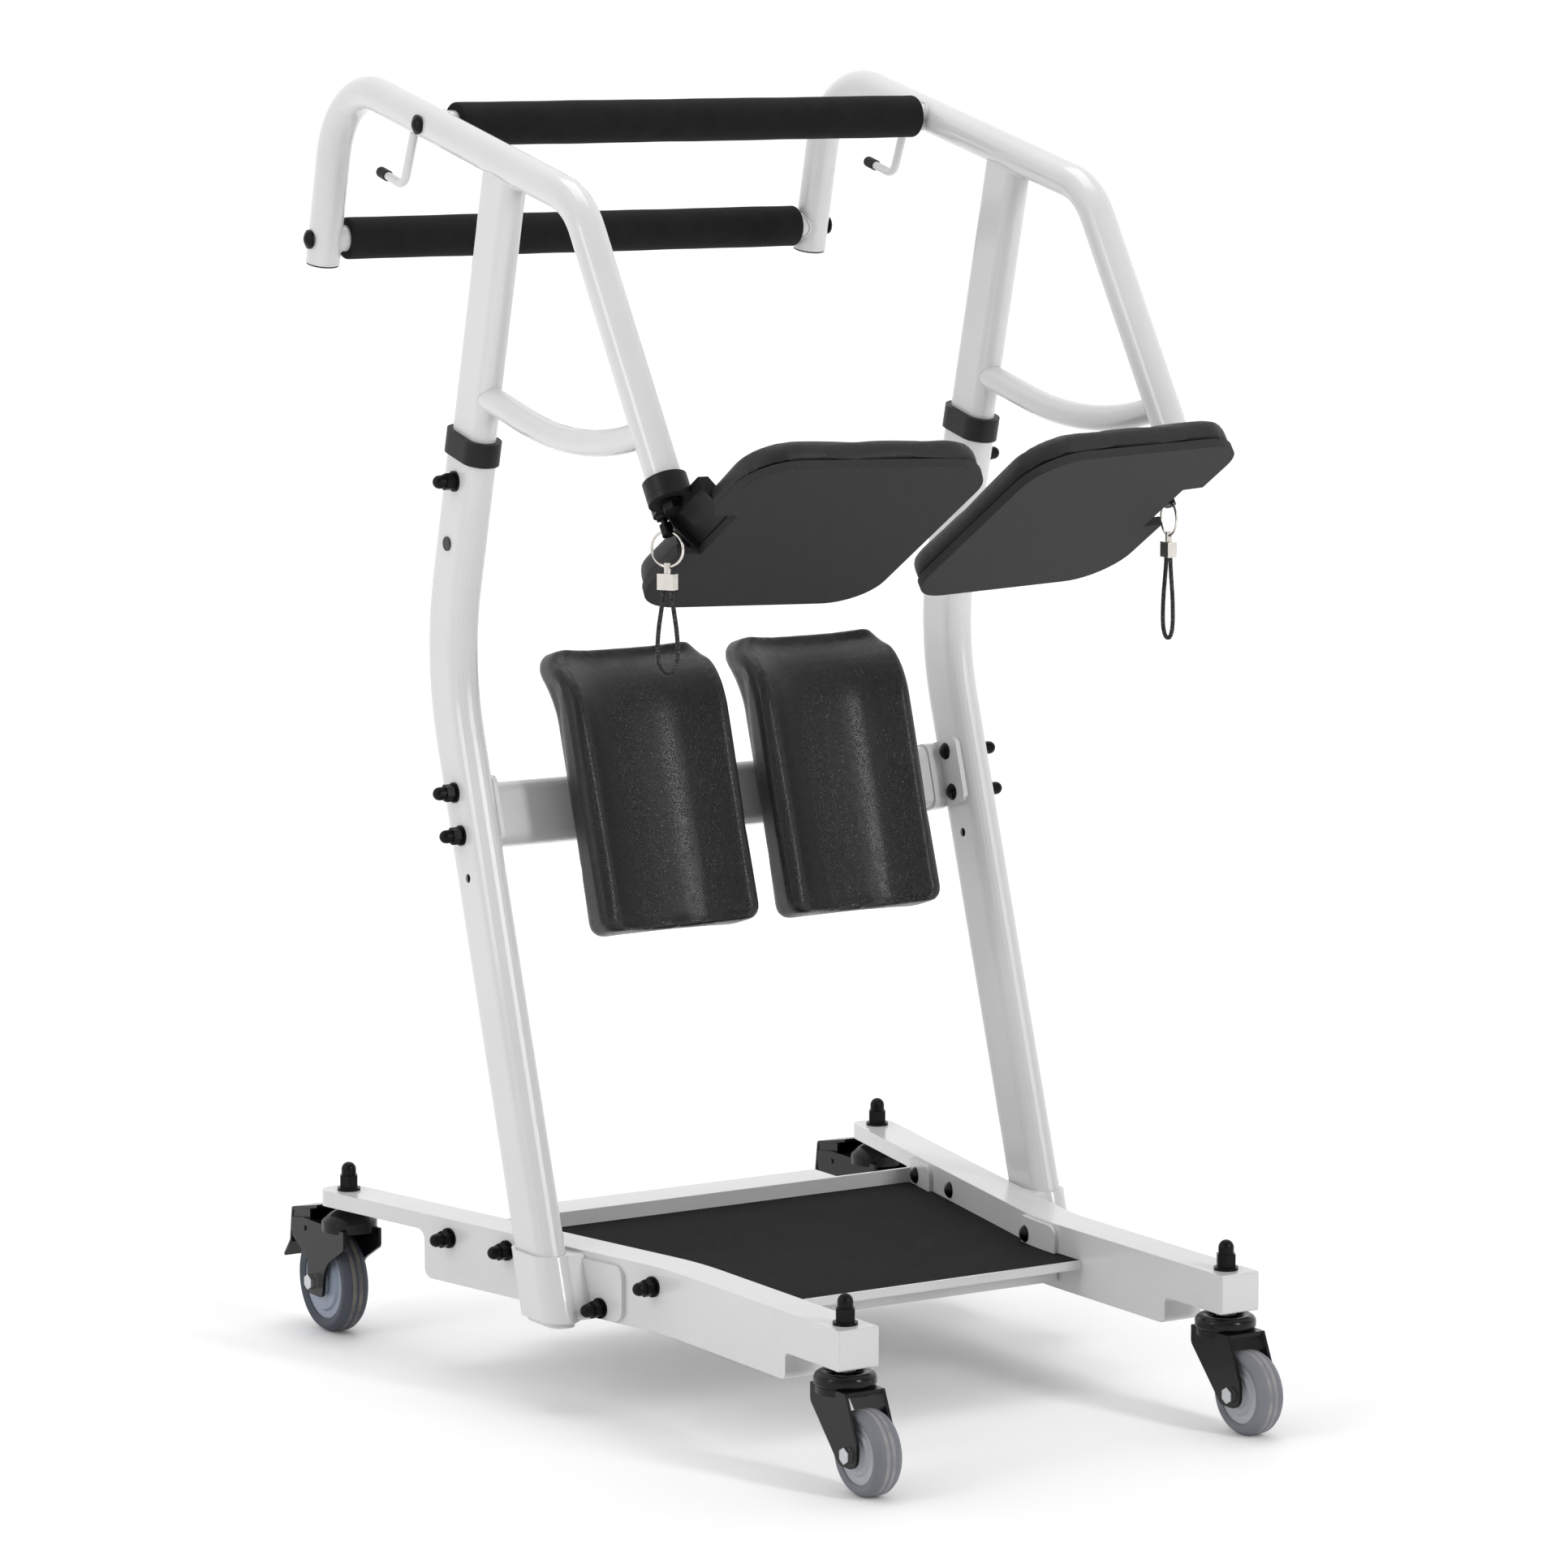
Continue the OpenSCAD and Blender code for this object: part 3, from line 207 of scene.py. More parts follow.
def powder_coat(name, colour, shade, roughness, radius=0.0009, dark=False):
    """A baked powder coat: slight orange peel, and a trace of colour where it lies thicker."""
    p = Paint(name, colour, roughness, coat=0.03 if dark else 0.35,
              specular=0.2 if dark else 0.5)
    p.soften_edges(radius)
    p.feed(p.ramp(p.noise(9.0), (0.3, shade), (0.7, colour)), "Base Color")
    p.vary(p.noise(60.0), roughness - 0.05, roughness + 0.07)
    p.bump(p.noise(420.0, 2.0), 0.00006, 0.35)
    return p


def steel(name, colour, roughness):
    """Plated or blackened metal with a fine grain and duller patches."""
    p = Paint(name, colour, roughness, metallic=1.0)
    p.soften_edges(0.0004)
    p.vary(p.noise(35.0, 4.0), roughness - 0.08, roughness + 0.15)
    p.bump(p.noise(1500.0, 2.0), 0.00003, 0.3)
    dark = tuple(0.72 * c for c in colour)
    p.feed(p.ramp(p.noise(18.0, 4.0), (0.25, dark), (0.65, colour)), "Base Color")
    return p


def grained(name, colour, light, roughness, scale, depth):
    """Leather-like grain: small cells with creases between them, over a broad unevenness."""
    p = Paint(name, colour, roughness, specular=0.4)
    crease = p.ramp(p.cells(scale), (0.0, (0, 0, 0)), (0.14, (1, 1, 1)))
    p.bump(p.noise(28.0, 3.0), 0.0006, 0.35)
    p.bump(crease, depth, 0.7)
    p.vary(p.noise(130.0, 3.0), roughness - 0.06, roughness + 0.12)
    p.feed(p.ramp(p.noise(14.0, 4.0), (0.3, colour), (0.75, light)), "Base Color")
    return p


WHITE = powder_coat("white_coat", (0.61, 0.61, 0.619), (0.585, 0.585, 0.594), 0.22)
BLACK_COAT = ((0.005, 0.005, 0.0052), (0.008, 0.008, 0.0083), 0.2)
BLACK = powder_coat("black_coat", *BLACK_COAT, dark=True)
SATIN = powder_coat("satin_coat", (0.007, 0.007, 0.0075), (0.011, 0.011, 0.012), 0.42, 0.0006,
                    True)
FASTENER = steel("black_steel", (0.018, 0.018, 0.019), 0.36)
ZINC = steel("zinc_steel", (0.62, 0.61, 0.58), 0.27)
NICKEL = steel("nickel", (0.72, 0.69, 0.64), 0.2)

FOAM = Paint("grip_foam", (0.01, 0.01, 0.011), 0.8, specular=0.12)
FOAM.feed(FOAM.ramp(FOAM.noise(45.0, 5.0), (0.3, (0.009, 0.009, 0.01)),
                    (0.75, (0.013, 0.013, 0.014))), "Base Color")
FOAM.bump(FOAM.noise(900.0, 3.0), 0.00035, 0.6)
FOAM.bump(FOAM.cells(1300.0, "F1"), 0.0002, 0.6)

PADS = grained("pad_cover", (0.003, 0.003, 0.0034), (0.005, 0.005, 0.0056), 0.28, 620.0, 0.00014)
SEATS = grained("seat_cover", (0.004, 0.004, 0.0044), (0.006, 0.006, 0.0067), 0.46, 700.0,
                0.00012)

BOARD = Paint("pad_board", (0.03, 0.03, 0.032), 0.7, specular=0.15)
BOARD.soften_edges(0.0008)
BOARD.feed(BOARD.ramp(BOARD.noise(1100.0, 4.0), (0.3, (0.02, 0.02, 0.0205)),
                      (0.7, (0.036, 0.036, 0.037))), "Base Color")
BOARD.bump(BOARD.noise(1500.0, 3.0), 0.00025, 0.6)

PLUG = Paint("plug", (0.008, 0.008, 0.008), 0.5, specular=0.25)
PLUG.soften_edges(0.0005)
PLUG.bump(PLUG.noise(700.0, 2.0), 0.00008, 0.5)
PLUG.vary(PLUG.noise(90.0), 0.42, 0.6)

# Caps of the masts: white under their feet, and black in the lock holes above
CAPS = Paint("mast_caps", (0.008, 0.008, 0.008), 0.4)
CAPS.soften_edges(0.0005)
CAPS.feed(CAPS.ramp(CAPS.axes()[2], (0.3, (0.6, 0.6, 0.61)), (0.32, (0.008, 0.008, 0.008))),
          "Base Color")
CAPS.bump(CAPS.noise(700.0, 2.0), 0.00008, 0.5)


def mat_paint():
    """A black mat with a fine raised diamond weave. Its colour follows the weave, with painted
    shade in the hollows and a painted highlight on the ridges, over a broad uneven tone.
    """
    p = Paint("foot_mat", (0.01, 0.01, 0.011), 0.8, specular=0.1)
    x, y, _ = p.axes()
    pitch = 2 * math.pi / 0.0042
    a = p.math("SINE", p.math("MULTIPLY", p.math("ADD", x, y), pitch))
    b = p.math("SINE", p.math("MULTIPLY", p.math("SUBTRACT", x, y), pitch))
    height = p.math("MULTIPLY", a, b)
    p.bump(height, 0.0005, 0.9)
    p.bump(p.noise(900.0, 2.0), 0.0001, 0.4)
    # Painted shade and highlight: the weave's height darkens its hollows and lightens its
    # ridges, and the noise adds a broad uneven tone
    spread = p.math("MULTIPLY", height, 0.5)
    painted_shade_and_tone = p.math("ADD", p.math("ADD", spread, 0.3), p.math("MULTIPLY", p.noise(16.0), 0.35))
    p.feed(p.ramp(painted_shade_and_tone, (0.25, (0.005, 0.005, 0.0055)), (0.95, (0.024, 0.024, 0.026))),
           "Base Color")
    return p


MAT = mat_paint()


# Half the width of a tyre's stripe, as a share of its offset from the tread's middle
STRIPE_HALF = 0.55


def tyre_paint(name, middle, tread, stripe, offset):
    """Moulded tyre: its tread has two worn stripes, this offset from its middle line. middle is
    the x of the wheel's middle plane."""
    p = Paint(name, tread, 0.6, specular=0.35)
    band = p.math("COMPARE", p.off_plane(middle), offset, offset * STRIPE_HALF)
    grime = p.math("MULTIPLY", band, p.ramp(p.noise(60.0, 5.0), (0.35, (0.2,) * 3),
                                            (0.6, (1,) * 3)))
    dark = tuple(0.8 * c for c in tread)
    rubber = p.ramp(p.noise(25.0, 3.0), (0.3, dark), (0.7, tread))
    p.feed(p.mix(grime, rubber, stripe), "Base Color")
    p.bump(p.noise(500.0, 3.0), 0.00015, 0.5)
    p.vary(p.noise(40.0), 0.5, 0.7)
    return p


def middle_x(name):
    low_corner, high_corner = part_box(name)
    return (low_corner[0] + high_corner[0]) / 2


REAR_X = middle_x("rear_tyre_right")
FRONT_X = middle_x("front_tyre_right")
REAR_TYRE = tyre_paint("rear_tyre", REAR_X, (0.062, 0.069, 0.09), (0.17, 0.155, 0.13), 0.0035)
FRONT_TYRE = tyre_paint("front_tyre", FRONT_X, (0.185, 0.192, 0.215), (0.27, 0.265, 0.26), 0.003)
# A fork leg's outer face, from the wheel's middle plane, and a height above every axle
LEG_FACE, AXLE_TOP = 0.0207, 0.07


def fork_paint(name, middle):
    """Black coat on a fork, with bare zinc on the axle's ends outside its legs. middle is the
    x of the wheel's middle plane."""
    p = powder_coat(name, *BLACK_COAT, dark=True)
    coat = p.shader.inputs["Base Color"].links[0].from_socket
    bare = p.math("MULTIPLY", p.math("GREATER_THAN", p.off_plane(middle), LEG_FACE),
                  p.math("LESS_THAN", p.axes()[2], AXLE_TOP))
    p.feed(p.mix(bare, coat, (0.55, 0.56, 0.57)), "Base Color")
    p.feed(bare, "Metallic")
    return p


REAR_FORK = fork_paint("rear_fork", REAR_X)
FRONT_FORK = fork_paint("front_fork", FRONT_X)


def hub_paint(name, colour):
    """Moulded plastic with slight mottling."""
    p = Paint(name, colour, 0.38)
    p.soften_edges(0.0006)
    dark = tuple(0.88 * c for c in colour)
    p.feed(p.ramp(p.noise(30.0, 4.0), (0.3, dark), (0.7, colour)), "Base Color")
    p.bump(p.noise(600.0, 2.0), 0.00008, 0.4)
    p.vary(p.noise(80.0), 0.3, 0.48)
    return p


REAR_HUB = hub_paint("rear_hub", (0.25, 0.285, 0.36))
FRONT_HUB = hub_paint("front_hub", (0.38, 0.4, 0.43))


def cord_paint():
    """A black braid: small bumps of strands, with light flecks."""
    p = Paint("cord", (0.02, 0.02, 0.022), 0.7, specular=0.3)
    fleck = p.cells(900.0, "F1")
    p.bump(fleck, 0.0004, 0.9)
    p.feed(p.ramp(p.noise(800.0, 2.0), (0.5, (0.006, 0.006, 0.0065)),
                  (0.72, (0.13, 0.13, 0.13))), "Base Color")
    return p


CORD = cord_paint()

LOOKS = [
    (("rail_", "lower_mast", "mast_socket", "inner_mast", "handle_tube", "rear_crossbar",
      "front_crossbar", "foot_tray", "knee_bar", "braces", "grip_tubes", "hooks"), WHITE),
    (("mast_collars", "knee_pad_brackets", "seat_hubs", "seat_bracket"), SATIN),
    (("brake_pedal",), BLACK), (("front_fork",), FRONT_FORK), (("rear_fork",), REAR_FORK),
    (("frame_bolts", "acorn_nuts", "height_lock", "grip_bolts", "pivot_bolts", "lock_pin"),
     FASTENER),
    (("caster_stems",), ZINC), (("foam_grips",), FOAM), (("foot_mat",), MAT),
    (("knee_pad_left", "knee_pad_right"), PADS), (("seat_pad",), SEATS),
    (("seat_base",), BOARD), (("rear_tyre",), REAR_TYRE), (("front_tyre",), FRONT_TYRE),
    (("rear_hub",), REAR_HUB), (("front_hub",), FRONT_HUB),
    (("mast_plugs",), CAPS), (("tube_end_plugs", "hook_tips"), PLUG),
    (("lanyard",), CORD), (("pull_ring",), NICKEL),
]


def dress(o, paint):
    o.data.materials.clear()
    o.data.materials.append(paint.material)


def smooth(o, degrees):
    """Smooth shading that keeps true edges crisp."""
    o.data.shade_smooth()
    o.data.set_sharp_from_angle(angle=math.radians(degrees))


for name, o in nodes.items():
    dress(o, next(paint for starts, paint in LOOKS if name.startswith(starts)))


def link(o, paint, body, slot, *stands_for):
    dress(o, paint)
    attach(o, body)
    if stands_for:
        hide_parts(*stands_for)


def new_object(name, bm):
    mesh = bpy.data.meshes.new(name)
    bm.normal_update()
    bm.to_mesh(mesh)
    bm.free()
    o = bpy.data.objects.new(name, mesh)
    bpy.context.scene.collection.objects.link(o)
    return o


def apply_modifiers(o):
    graph = bpy.context.evaluated_depsgraph_get()
    done = bpy.data.meshes.new_from_object(o.evaluated_get(graph))
    o.modifiers.clear()
    o.data = done


# ---------- lanyards ----------

# Lean of the seat hinges, from the run and the rise of the handle tubes' steep ends
HINGE_LEAN = math.atan2(144.7, 233.4)
# Where the right ring hangs, and each ring's turn about the vertical
HANG = Vector((0.266, -0.18891, 0.81307))
RING_TURNS = {"left": math.radians(-60), "right": math.radians(81)}
# Half of a lanyard's loop in millimetres, as sideways and height from where its ring hangs
LOOP_HALF = [(4, -43.5), (4, -50), (4.5, -57), (5.5, -65), (7, -74), (8.5, -83), (9.5, -92),
             (10, -101), (10, -109), (9, -116), (6.5, -121.5), (3.5, -124.3)]
LOOP = LOOP_HALF + [(0, -125)] + [(-x, z) for x, z in reversed(LOOP_HALF)]
CORD_R = 0.00198


def hanging(side, sign):
    """Where a ring hangs: X runs in the ring's plane and Z is up."""
    place = Vector((sign * HANG.x, HANG.y, HANG.z))
    return Matrix.Translation(place) @ Matrix.Rotation(RING_TURNS[side], 4, "Z")


for side, sign in SIDES:
    points = [hanging(side, sign) @ Vector((x / 1000, 0, z / 1000)) for x, z in LOOP]
    curve = bpy.data.curves.new("cord_" + side, "CURVE")
    curve.dimensions = "3D"
    curve.bevel_depth = CORD_R
    curve.bevel_resolution = 4
    curve.use_fill_caps = True
    spline = curve.splines.new("POLY")
    spline.points.add(len(points) - 1)
    for p, q in zip(spline.points, points):
        p.co = (*q, 1)
    o = bpy.data.objects.new("cord_" + side, curve)
    bpy.context.scene.collection.objects.link(o)
    link(o, CORD, "pull_tag_" + side, "cord", "lanyard_" + side)

# ---------- seat pads ----------

SEAT_OUTLINE = [(-250, -135.4), (-15, -121.3), (-15, 142.3), (-250, 128.2)]
CORNER = 46.0
HUB = (0.272, -0.194, 0.858)
BASE_Z, CANT = -0.0532, math.radians(3.87)
BOARD_T = 0.008


def rounded_outline(points, radius, steps):
    """A corner-rounded outline in metres, from points and a radius in millimetres."""
    out, n = [], len(points)
    for i in range(n):
        a, v, b = (np.array(points[(i + k) % n], float) for k in (-1, 0, 1))
        u, w = (v - a) / np.linalg.norm(v - a), (b - v) / np.linalg.norm(b - v)
        turn = math.acos(float(np.clip(u @ w, -1, 1)))
        side = w - u * (u @ w)
        side /= np.linalg.norm(side)
        c = v - u * radius * math.tan(turn / 2) + side * radius
        first = math.atan2(-side[1], -side[0])
        way = 1 if u[0] * w[1] - u[1] * w[0] > 0 else -1
        for k in range(steps + 1):
            t = first + way * turn * k / steps
            out.append(c + radius * np.array([math.cos(t), math.sin(t)]))
    return [tuple(p / 1000) for p in out]


def resample(points, gap):
    """The same closed outline with points about gap apart."""
    pts = [Vector((x, y, 0)) for x, y in points]
    out = []
    for a, b in zip(pts, pts[1:] + pts[:1]):
        count = max(1, round((b - a).length / gap))
        out += [a.lerp(b, k / count) for k in range(count)]
    return [(p.x, p.y) for p in out]


def lofted(loops):
    """A closed skin through loops of equal length, each a list of (x, y, z)."""
    bm = bmesh.new()
    rings = [[bm.verts.new(p) for p in loop] for loop in loops]
    n = len(loops[0])
    for a, b in zip(rings, rings[1:]):
        for k in range(n):
            bm.faces.new((a[k], a[(k + 1) % n], b[(k + 1) % n], b[k]))
    bm.faces.new(list(reversed(rings[0])))
    bm.faces.new(rings[-1])
    bmesh.ops.recalc_face_normals(bm, faces=bm.faces)
    return bm


def seat_matrix(sign):
    """From a seat's own frame, with its board's underside at z = 0, to the lift."""
    lean = Matrix.Rotation(-HINGE_LEAN, 4, "X")
    local = (Matrix.Translation(HUB) @ lean
             @ Matrix.Translation((0, 0, BASE_Z)) @ Matrix.Rotation(-CANT, 4, "Y"))
    return Matrix.Scale(sign, 4, (1, 0, 0)) @ local


def loop_at(inset, z):
    """The seat's outline at height z, moved inwards by inset."""
    flat = [Vector(p) for p in resample(rounded_outline(SEAT_OUTLINE, CORNER, 10), 0.011)]
    n = len(flat)
    out = []
    for k in range(n):
        t = (flat[(k + 1) % n] - flat[k - 1]).normalized()
        out.append((flat[k].x - t.y * inset, flat[k].y + t.x * inset, z))
    return out


CLOTH_STEPS = 20


def swell(o, pressure, cap, voxel=0.005):
    """Cloth puffs the piece out, no point further than cap."""
    remesh = o.modifiers.new("remesh", "REMESH")
    remesh.mode, remesh.voxel_size = "VOXEL", voxel
    apply_modifiers(o)
    before = np.array([v.co[:] for v in o.data.vertices])
    cloth = o.modifiers.new("cloth", "CLOTH")
    cloth.settings.use_pressure = True
    cloth.settings.uniform_pressure_force = pressure
    cloth.settings.effector_weights.gravity = 0
    cloth.settings.tension_stiffness = cloth.settings.compression_stiffness = 15
    cloth.point_cache.frame_start, cloth.point_cache.frame_end = 1, CLOTH_STEPS
    for step in range(1, CLOTH_STEPS + 1):
        bpy.context.scene.frame_set(step)
    apply_modifiers(o)
    after = np.array([v.co[:] for v in o.data.vertices])
    move = after - before
    size = np.linalg.norm(move, axis=1, keepdims=True)
    move *= np.minimum(1, cap / np.maximum(size, 1e-9))
    o.data.vertices.foreach_set("co", (before + move).astype(np.float32).ravel())
    bpy.context.scene.frame_set(1)


def cut(o, *boxes):
    """Takes boxes, each as its low and high corner, out of a mesh."""
    for near, far in boxes:
        bm = bmesh.new()
        bmesh.ops.create_cube(bm, size=1)
        size, mid = Vector(far) - Vector(near), (Vector(far) + Vector(near)) / 2
        for v in bm.verts:
            v.co = Vector(a * b for a, b in zip(v.co, size)) + mid
        tool = new_object("cutter", bm)
        boolean = o.modifiers.new("cut", "BOOLEAN")
        boolean.operation, boolean.object, boolean.solver = "DIFFERENCE", tool, "EXACT"
        apply_modifiers(o)
        bpy.data.objects.remove(tool)


# A cushion's edge, as inset and height above the board's underside
SEAT_PROFILE = [(0.0014, BOARD_T + 0.0002), (0.0003, BOARD_T + 0.0014), (0.0003, 0.0205),
                (0.0008, 0.0238), (0.0024, 0.0266), (0.0055, 0.0286), (0.0110, 0.0296),
                (0.0300, 0.0298)]
# Room for the hinge bracket, through the cushion's outer edge and under it
BRACKET_ROOM = (((-0.0375, -0.036, -0.01), (0.02, 0.036, 0.05)),
                ((-0.077, -0.034, 0.0), (0.02, 0.034, BOARD_T + 0.0048)))
for side, sign in SIDES:
    pad = new_object("seat_cushion_" + side, lofted([loop_at(i, z) for i, z in SEAT_PROFILE]))
    swell(pad, 2.0, 0.0016)
    cut(pad, *BRACKET_ROOM)
    pad.data.transform(seat_matrix(sign))
    if sign < 0:
        pad.data.flip_normals()
    smooth(pad, 50)
    link(pad, SEATS, "seat_" + side, "pad_cover", "seat_pad_" + side)

# ---------- knee pads ----------

# The pads' middles are this far below the masts' bend, measured along the lower masts
LOWER_LEAN = math.radians(17.4)
MAST_BEND, KNEE_DOWN = (0.193, 0.665), 0.145
KNEE_MID = Vector((0, MAST_BEND[0] - KNEE_DOWN * math.sin(LOWER_LEAN),
                   MAST_BEND[1] - KNEE_DOWN * math.cos(LOWER_LEAN)))
KNEE_X, HALF_W = 0.101, 0.084


def knee_matrix(sign):
    """From a knee pad's own leaning frame to the lift."""
    return (Matrix.Translation(KNEE_MID) @ Matrix.Rotation(-LOWER_LEAN, 4, "X")
            @ Matrix.Translation((sign * KNEE_X, 0, 0)))


def knee_section(z):
    """One level of a knee pad: its back, lip and channel depths as y in the leaning frame. The
    top curls back, its lips further than the rest."""
    top = min(1.0, max(0.0, (z - 0.072) / 0.068))
    back = -0.019 + 0.030 * top ** 1.7
    curl = 1 - math.sqrt(1 - 0.97 * top * top)
    lip = -0.0636 + 0.062 * curl
    floor = -0.0405 + 0.048 * curl
    return back, lip, min(floor, back - 0.010)


def round_off(past, radius):
    """How far a corner of this radius has turned in, past the start of its curve."""
    past = min(max(0.0, past), radius)
    return radius - math.sqrt(radius * radius - past * past)


def knee_loop(z):
    """A pad's outline at one level: a round lip at each side of a dished channel."""
    back, lip, floor = knee_section(z)
    w = HALF_W - round_off(z - 0.118, 0.024) - round_off(-0.118 - z, 0.012)
    r = 0.0115
    half = [(0.0, back), (w * 0.5, back), (w - 0.010, back), (w - 0.003, back - 0.003),
            (w, back - 0.010), (w, (back - 0.010 + lip + r) / 2)]
    half += [(w - r + r * math.cos(t), lip + r - r * math.sin(t))
             for t in np.linspace(0, math.pi / 2, 5)]
    inner = w - r
    half += [(inner * (1 - u), floor + (lip - floor) * (1 - math.sin(u * math.pi / 2)) ** 1.5)
             for u in (0.04, 0.08, 0.13, 0.19, 0.26, 0.34, 0.43, 0.54, 0.66, 0.82)]
    half.append((0.0, floor))
    right = [(x, y, z) for x, y in half]
    left = [(-x, y, z) for x, y in reversed(half[1:-1])]
    return list(reversed(right + left))


def squeeze(loop, amount, z):
    """A loop drawn in towards its middle, for the rounded ends."""
    c = Vector((0, sum(p[1] for p in loop) / len(loop), 0))
    out = []
    for x, y, _ in loop:
        d = Vector((x, y, 0)) - c
        k = max(0.0, 1 - amount / max(d.length, 1e-6))
        out.append((c.x + d.x * k, c.y + d.y * k, z))
    return out


# A knee pad's ends: how far a loop is drawn in, and its distance from the end
FOOT_EASE = ((0.014, 0.0), (0.0085, 0.0009), (0.0045, 0.0032), (0.0015, 0.007))
HEAD_EASE = ((0.0015, 0.007), (0.0045, 0.0032), (0.0075, 0.0009), (0.011, 0.0))


def knee_pad_skin():
    foot, head = -0.130, 0.142
    loops = [squeeze(knee_loop(foot + 0.012), drawn, foot + dz) for drawn, dz in FOOT_EASE]
    loops += [knee_loop(float(z)) for z in np.linspace(foot + 0.012, head - 0.012, 27)]
    loops += [squeeze(knee_loop(head - 0.010), drawn, head - dz) for drawn, dz in HEAD_EASE]
    return lofted(loops)


for side, sign in SIDES:
    pad = new_object("knee_cushion_" + side, knee_pad_skin())
    swell(pad, 1.5, 0.0012, voxel=0.004)
    pad.data.transform(knee_matrix(sign))
    sub = pad.modifiers.new("subdivide", "SUBSURF")
    sub.levels = sub.render_levels = 1
    apply_modifiers(pad)
    smooth(pad, 80)
    link(pad, PADS, "base", "pad_cover", "knee_pad_" + side)

# ---------- foam grips ----------

GRIPS = [(0.2127, 1.1525), (0.4272, 1.0400)]
FOAM_R, FOAM_HALF, GRIP_TUBE_R = 0.0199, 0.251, 0.0125
BORE_R, END_R = GRIP_TUBE_R + 0.0004, 0.003


def turned_x(profile, around=64):
    """A closed skin of revolution about X from (x, radius) points; profile is a closed loop."""
    bm = bmesh.new()
    rings = []
    for k in range(around):
        t = 2 * math.pi * k / around
        rings.append([bm.verts.new((x, r * math.cos(t), r * math.sin(t))) for x, r in profile])
    n = len(profile)
    for k in range(around):
        a, b = rings[k], rings[(k + 1) % around]
        for i in range(n):
            j = (i + 1) % n
            bm.faces.new((a[i], a[j], b[j], b[i]))
    bmesh.ops.recalc_face_normals(bm, faces=bm.faces)
    return bm


grip_profile = [(-FOAM_HALF, BORE_R), (-FOAM_HALF, FOAM_R - END_R)]
grip_profile += [(-FOAM_HALF + END_R - END_R * math.cos(t), FOAM_R - END_R + END_R * math.sin(t))
                 for t in np.linspace(0.3, math.pi / 2, 5)]
grip_profile += [(x, FOAM_R + 0.00012 * math.sin(x * 41) + 0.00008 * math.sin(x * 97 + 1))
                 for x in np.linspace(-FOAM_HALF + 4 * END_R, FOAM_HALF - 4 * END_R, 60)]
grip_profile += [(FOAM_HALF - END_R + END_R * math.sin(t), FOAM_R - END_R + END_R * math.cos(t))
                 for t in np.linspace(0, math.pi / 2 - 0.3, 5)]
grip_profile += [(FOAM_HALF, FOAM_R - END_R), (FOAM_HALF, BORE_R)]

for number, (y, z) in enumerate(GRIPS):
    grip = new_object("grip_foam_%d" % (number + 1), turned_x(grip_profile))
    grip.data.transform(Matrix.Translation((0, y, z)))
    smooth(grip, 60)
    link(grip, FOAM, "upper_frame", "grip_foam")
    if number == 1:
        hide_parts("foam_grips")

# ---------- weld beads ----------


def bead(name, points, radius, body):
    """A weld fillet: a slightly rippled rope of metal around a seam, under the powder coat."""
    around = 8
    n = len(points)
    bm = bmesh.new()
    rings = []
    for k in range(n):
        p = points[k]
        a, b = points[(k - 1) % n], points[(k + 1) % n]
        t = (b - a).normalized()
        side = t.orthogonal().normalized() if k == 0 else (side - t * side.dot(t)).normalized()
        up = t.cross(side)
        r = radius * (1 + 0.07 * math.sin(k * 1.9))
        rings.append([bm.verts.new(p + r * (math.cos(w) * side + math.sin(w) * up))
                      for w in (2 * math.pi * i / around for i in range(around))])
    for a, b in list(zip(rings, rings[1:])) + [(rings[-1], rings[0])]:
        shift = 0
        if a is rings[-1]:
            shift = min(range(around), key=lambda s: (a[0].co - b[s].co).length)
        for i in range(around):
            j = (i + 1) % around
            bm.faces.new((a[i], a[j], b[(j + shift) % around], b[(i + shift) % around]))
    bmesh.ops.recalc_face_normals(bm, faces=bm.faces)
    o = new_object(name, bm)
    smooth(o, 60)
    link(o, WHITE, body, "white_coat")


SIDE_X, TUBE_R = 0.272, 0.016
# The handle tubes' sloping run: its rise over its run, and a point of its axis as y and z
RISE = 0.2329
SLOPE = math.atan(RISE)
SLOPE_POINT = (0.225, 1.1553)
# An inner mast's half width and half depth, and where its top meets the handle tube
MAST_HALF = (0.0125, 0.0275)
MAST_TOP_Y, MAST_SPREAD = 0.0781, 1.02
SEAM_R = 0.0126
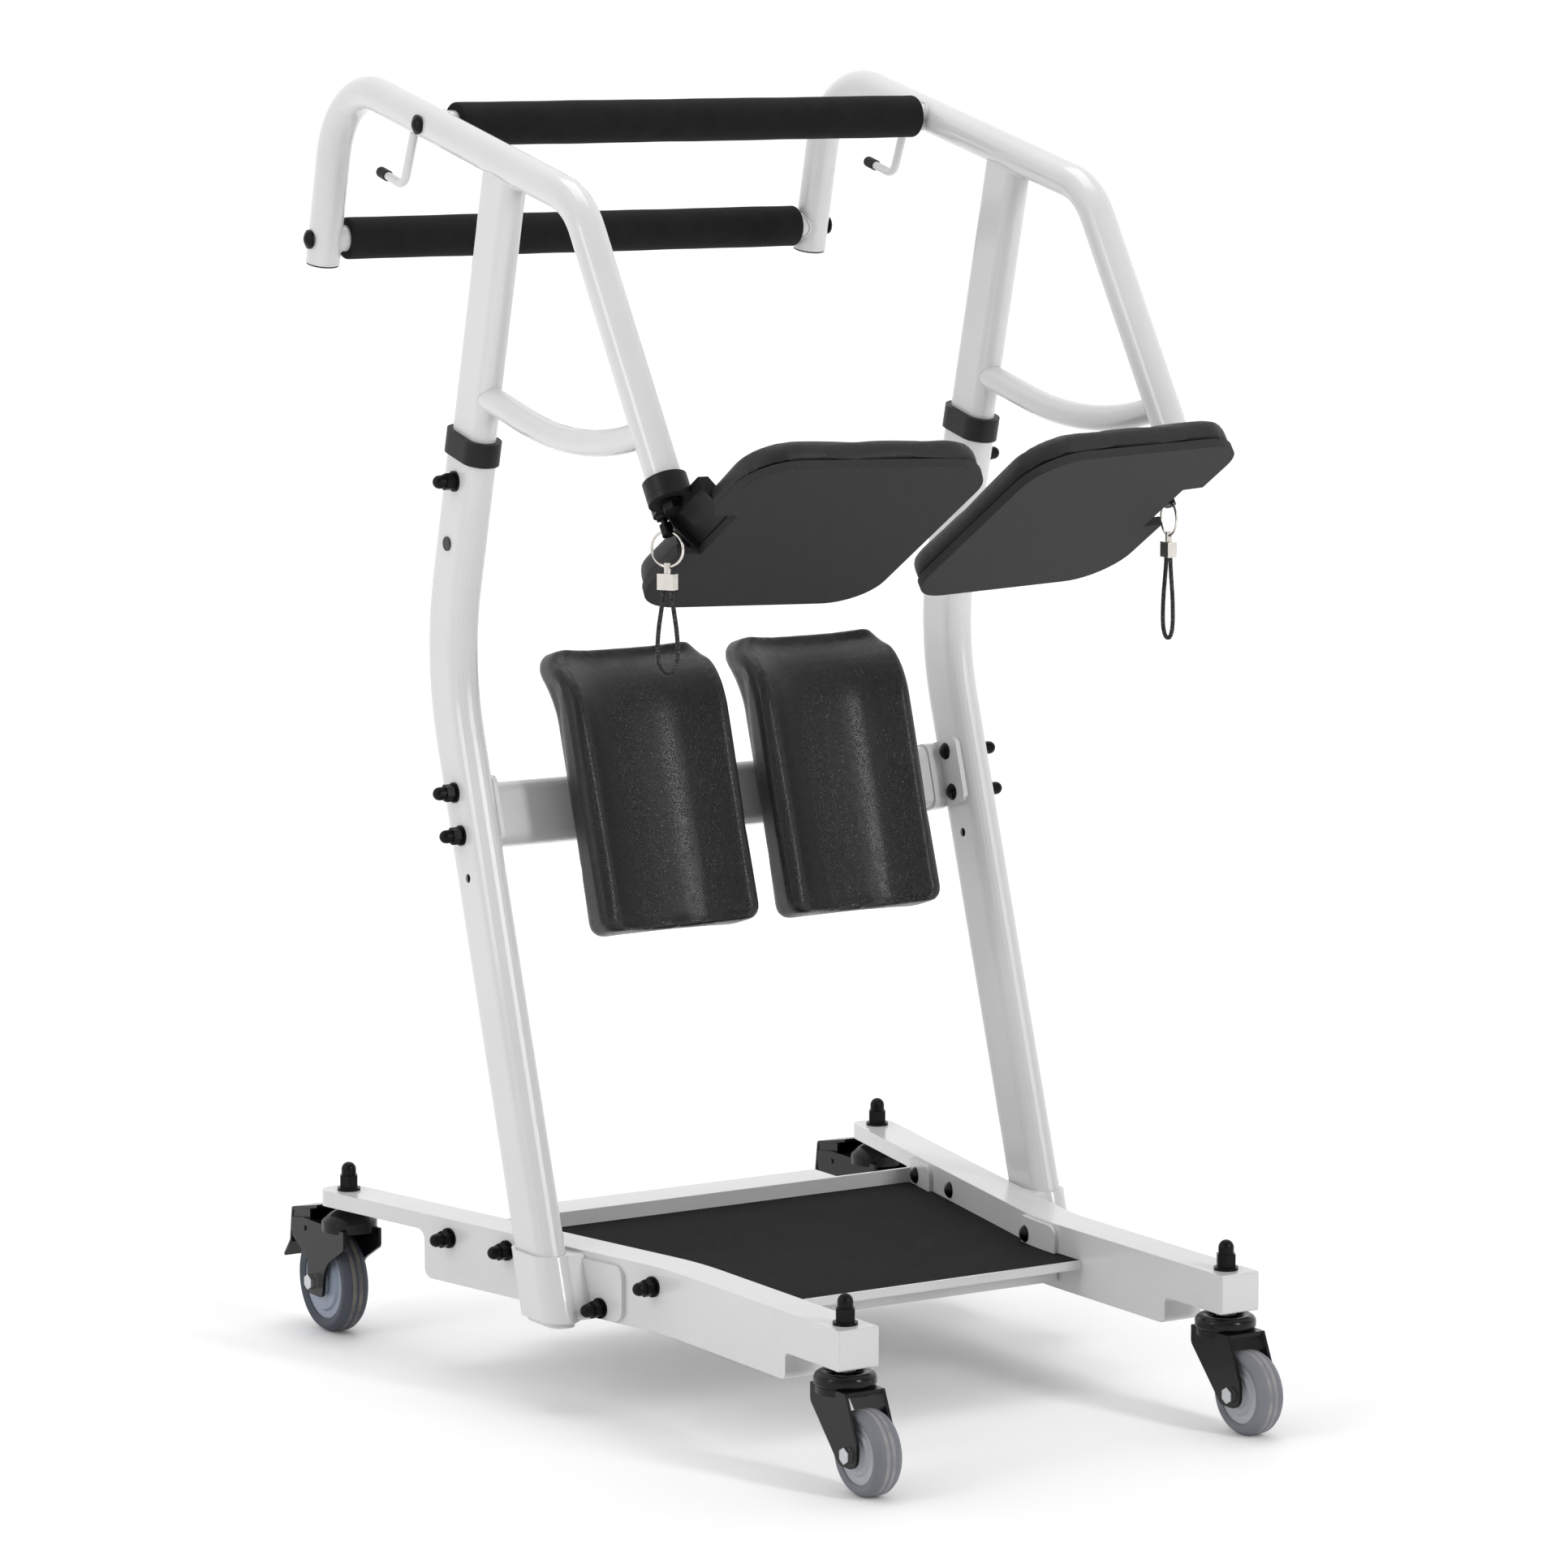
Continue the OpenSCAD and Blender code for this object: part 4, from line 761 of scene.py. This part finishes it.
# Headings of the handle tube where the two grip tubes meet it
GRIP_SEAMS = (("grip_upper", GRIPS[0], SLOPE), ("grip_lower", GRIPS[1], math.radians(90 + 13.2)))


def circle_steps(count):
    return [2 * math.pi * k / count for k in range(count)]


def tube_drop(off):
    """How far a tube's surface stands from its axis plane, this far off its axis."""
    return math.sqrt(max(0.0, TUBE_R ** 2 - off * off))


for side, sign in SIDES:
    loop = []
    for t in circle_steps(40):
        x, y = MAST_HALF[0] * math.cos(t), MAST_TOP_Y + MAST_HALF[1] * math.sin(t) * MAST_SPREAD
        z = SLOPE_POINT[1] + RISE * (y - SLOPE_POINT[0]) - tube_drop(x) / math.cos(SLOPE)
        loop.append(Vector((sign * (SIDE_X + x), y, z)))
    bead("weld_mast_top_" + side, loop, 0.0019, "upper_frame")

    for name, (y0, z0), heading in GRIP_SEAMS:
        loop = []
        for t in circle_steps(32):
            a, b = SEAM_R * math.cos(t), SEAM_R * math.sin(t)
            off = -a * math.sin(heading) + b * math.cos(heading)
            loop.append(Vector((sign * (SIDE_X - tube_drop(off)), y0 + a, z0 + b)))
        bead("weld_%s_%s" % (name, side), loop, 0.0013, "upper_frame")

# ---------- floor ----------

floor_mesh = bmesh.new()
bmesh.ops.create_grid(floor_mesh, x_segments=2, y_segments=2, size=30)
floor = new_object("floor", floor_mesh)
floor_paint = Paint("floor", (0.93, 0.93, 0.93), 0.7, specular=0.05)
floor_paint.vary(floor_paint.noise(3.0), 0.5, 0.6)
# Its glow grows over GLOW_SPAN, from GLOW_FROM out, so that it melts into the backdrop
GLOW_FROM, GLOW_SPAN = 0.7, 1.8
floor_x, floor_y, _ = floor_paint.axes()
away = floor_paint.math("SQRT", floor_paint.math(
    "ADD", floor_paint.math("MULTIPLY", floor_x, floor_x),
    floor_paint.math("MULTIPLY", floor_y, floor_y)))
glow = floor_paint.math("DIVIDE", floor_paint.math("SUBTRACT", away, GLOW_FROM), GLOW_SPAN)
floor_paint.shader.inputs["Emission Color"].default_value = (1, 1, 1, 1)
floor_paint.vary(glow, 0.03, 0.34, "Emission Strength")
dress(floor, floor_paint)
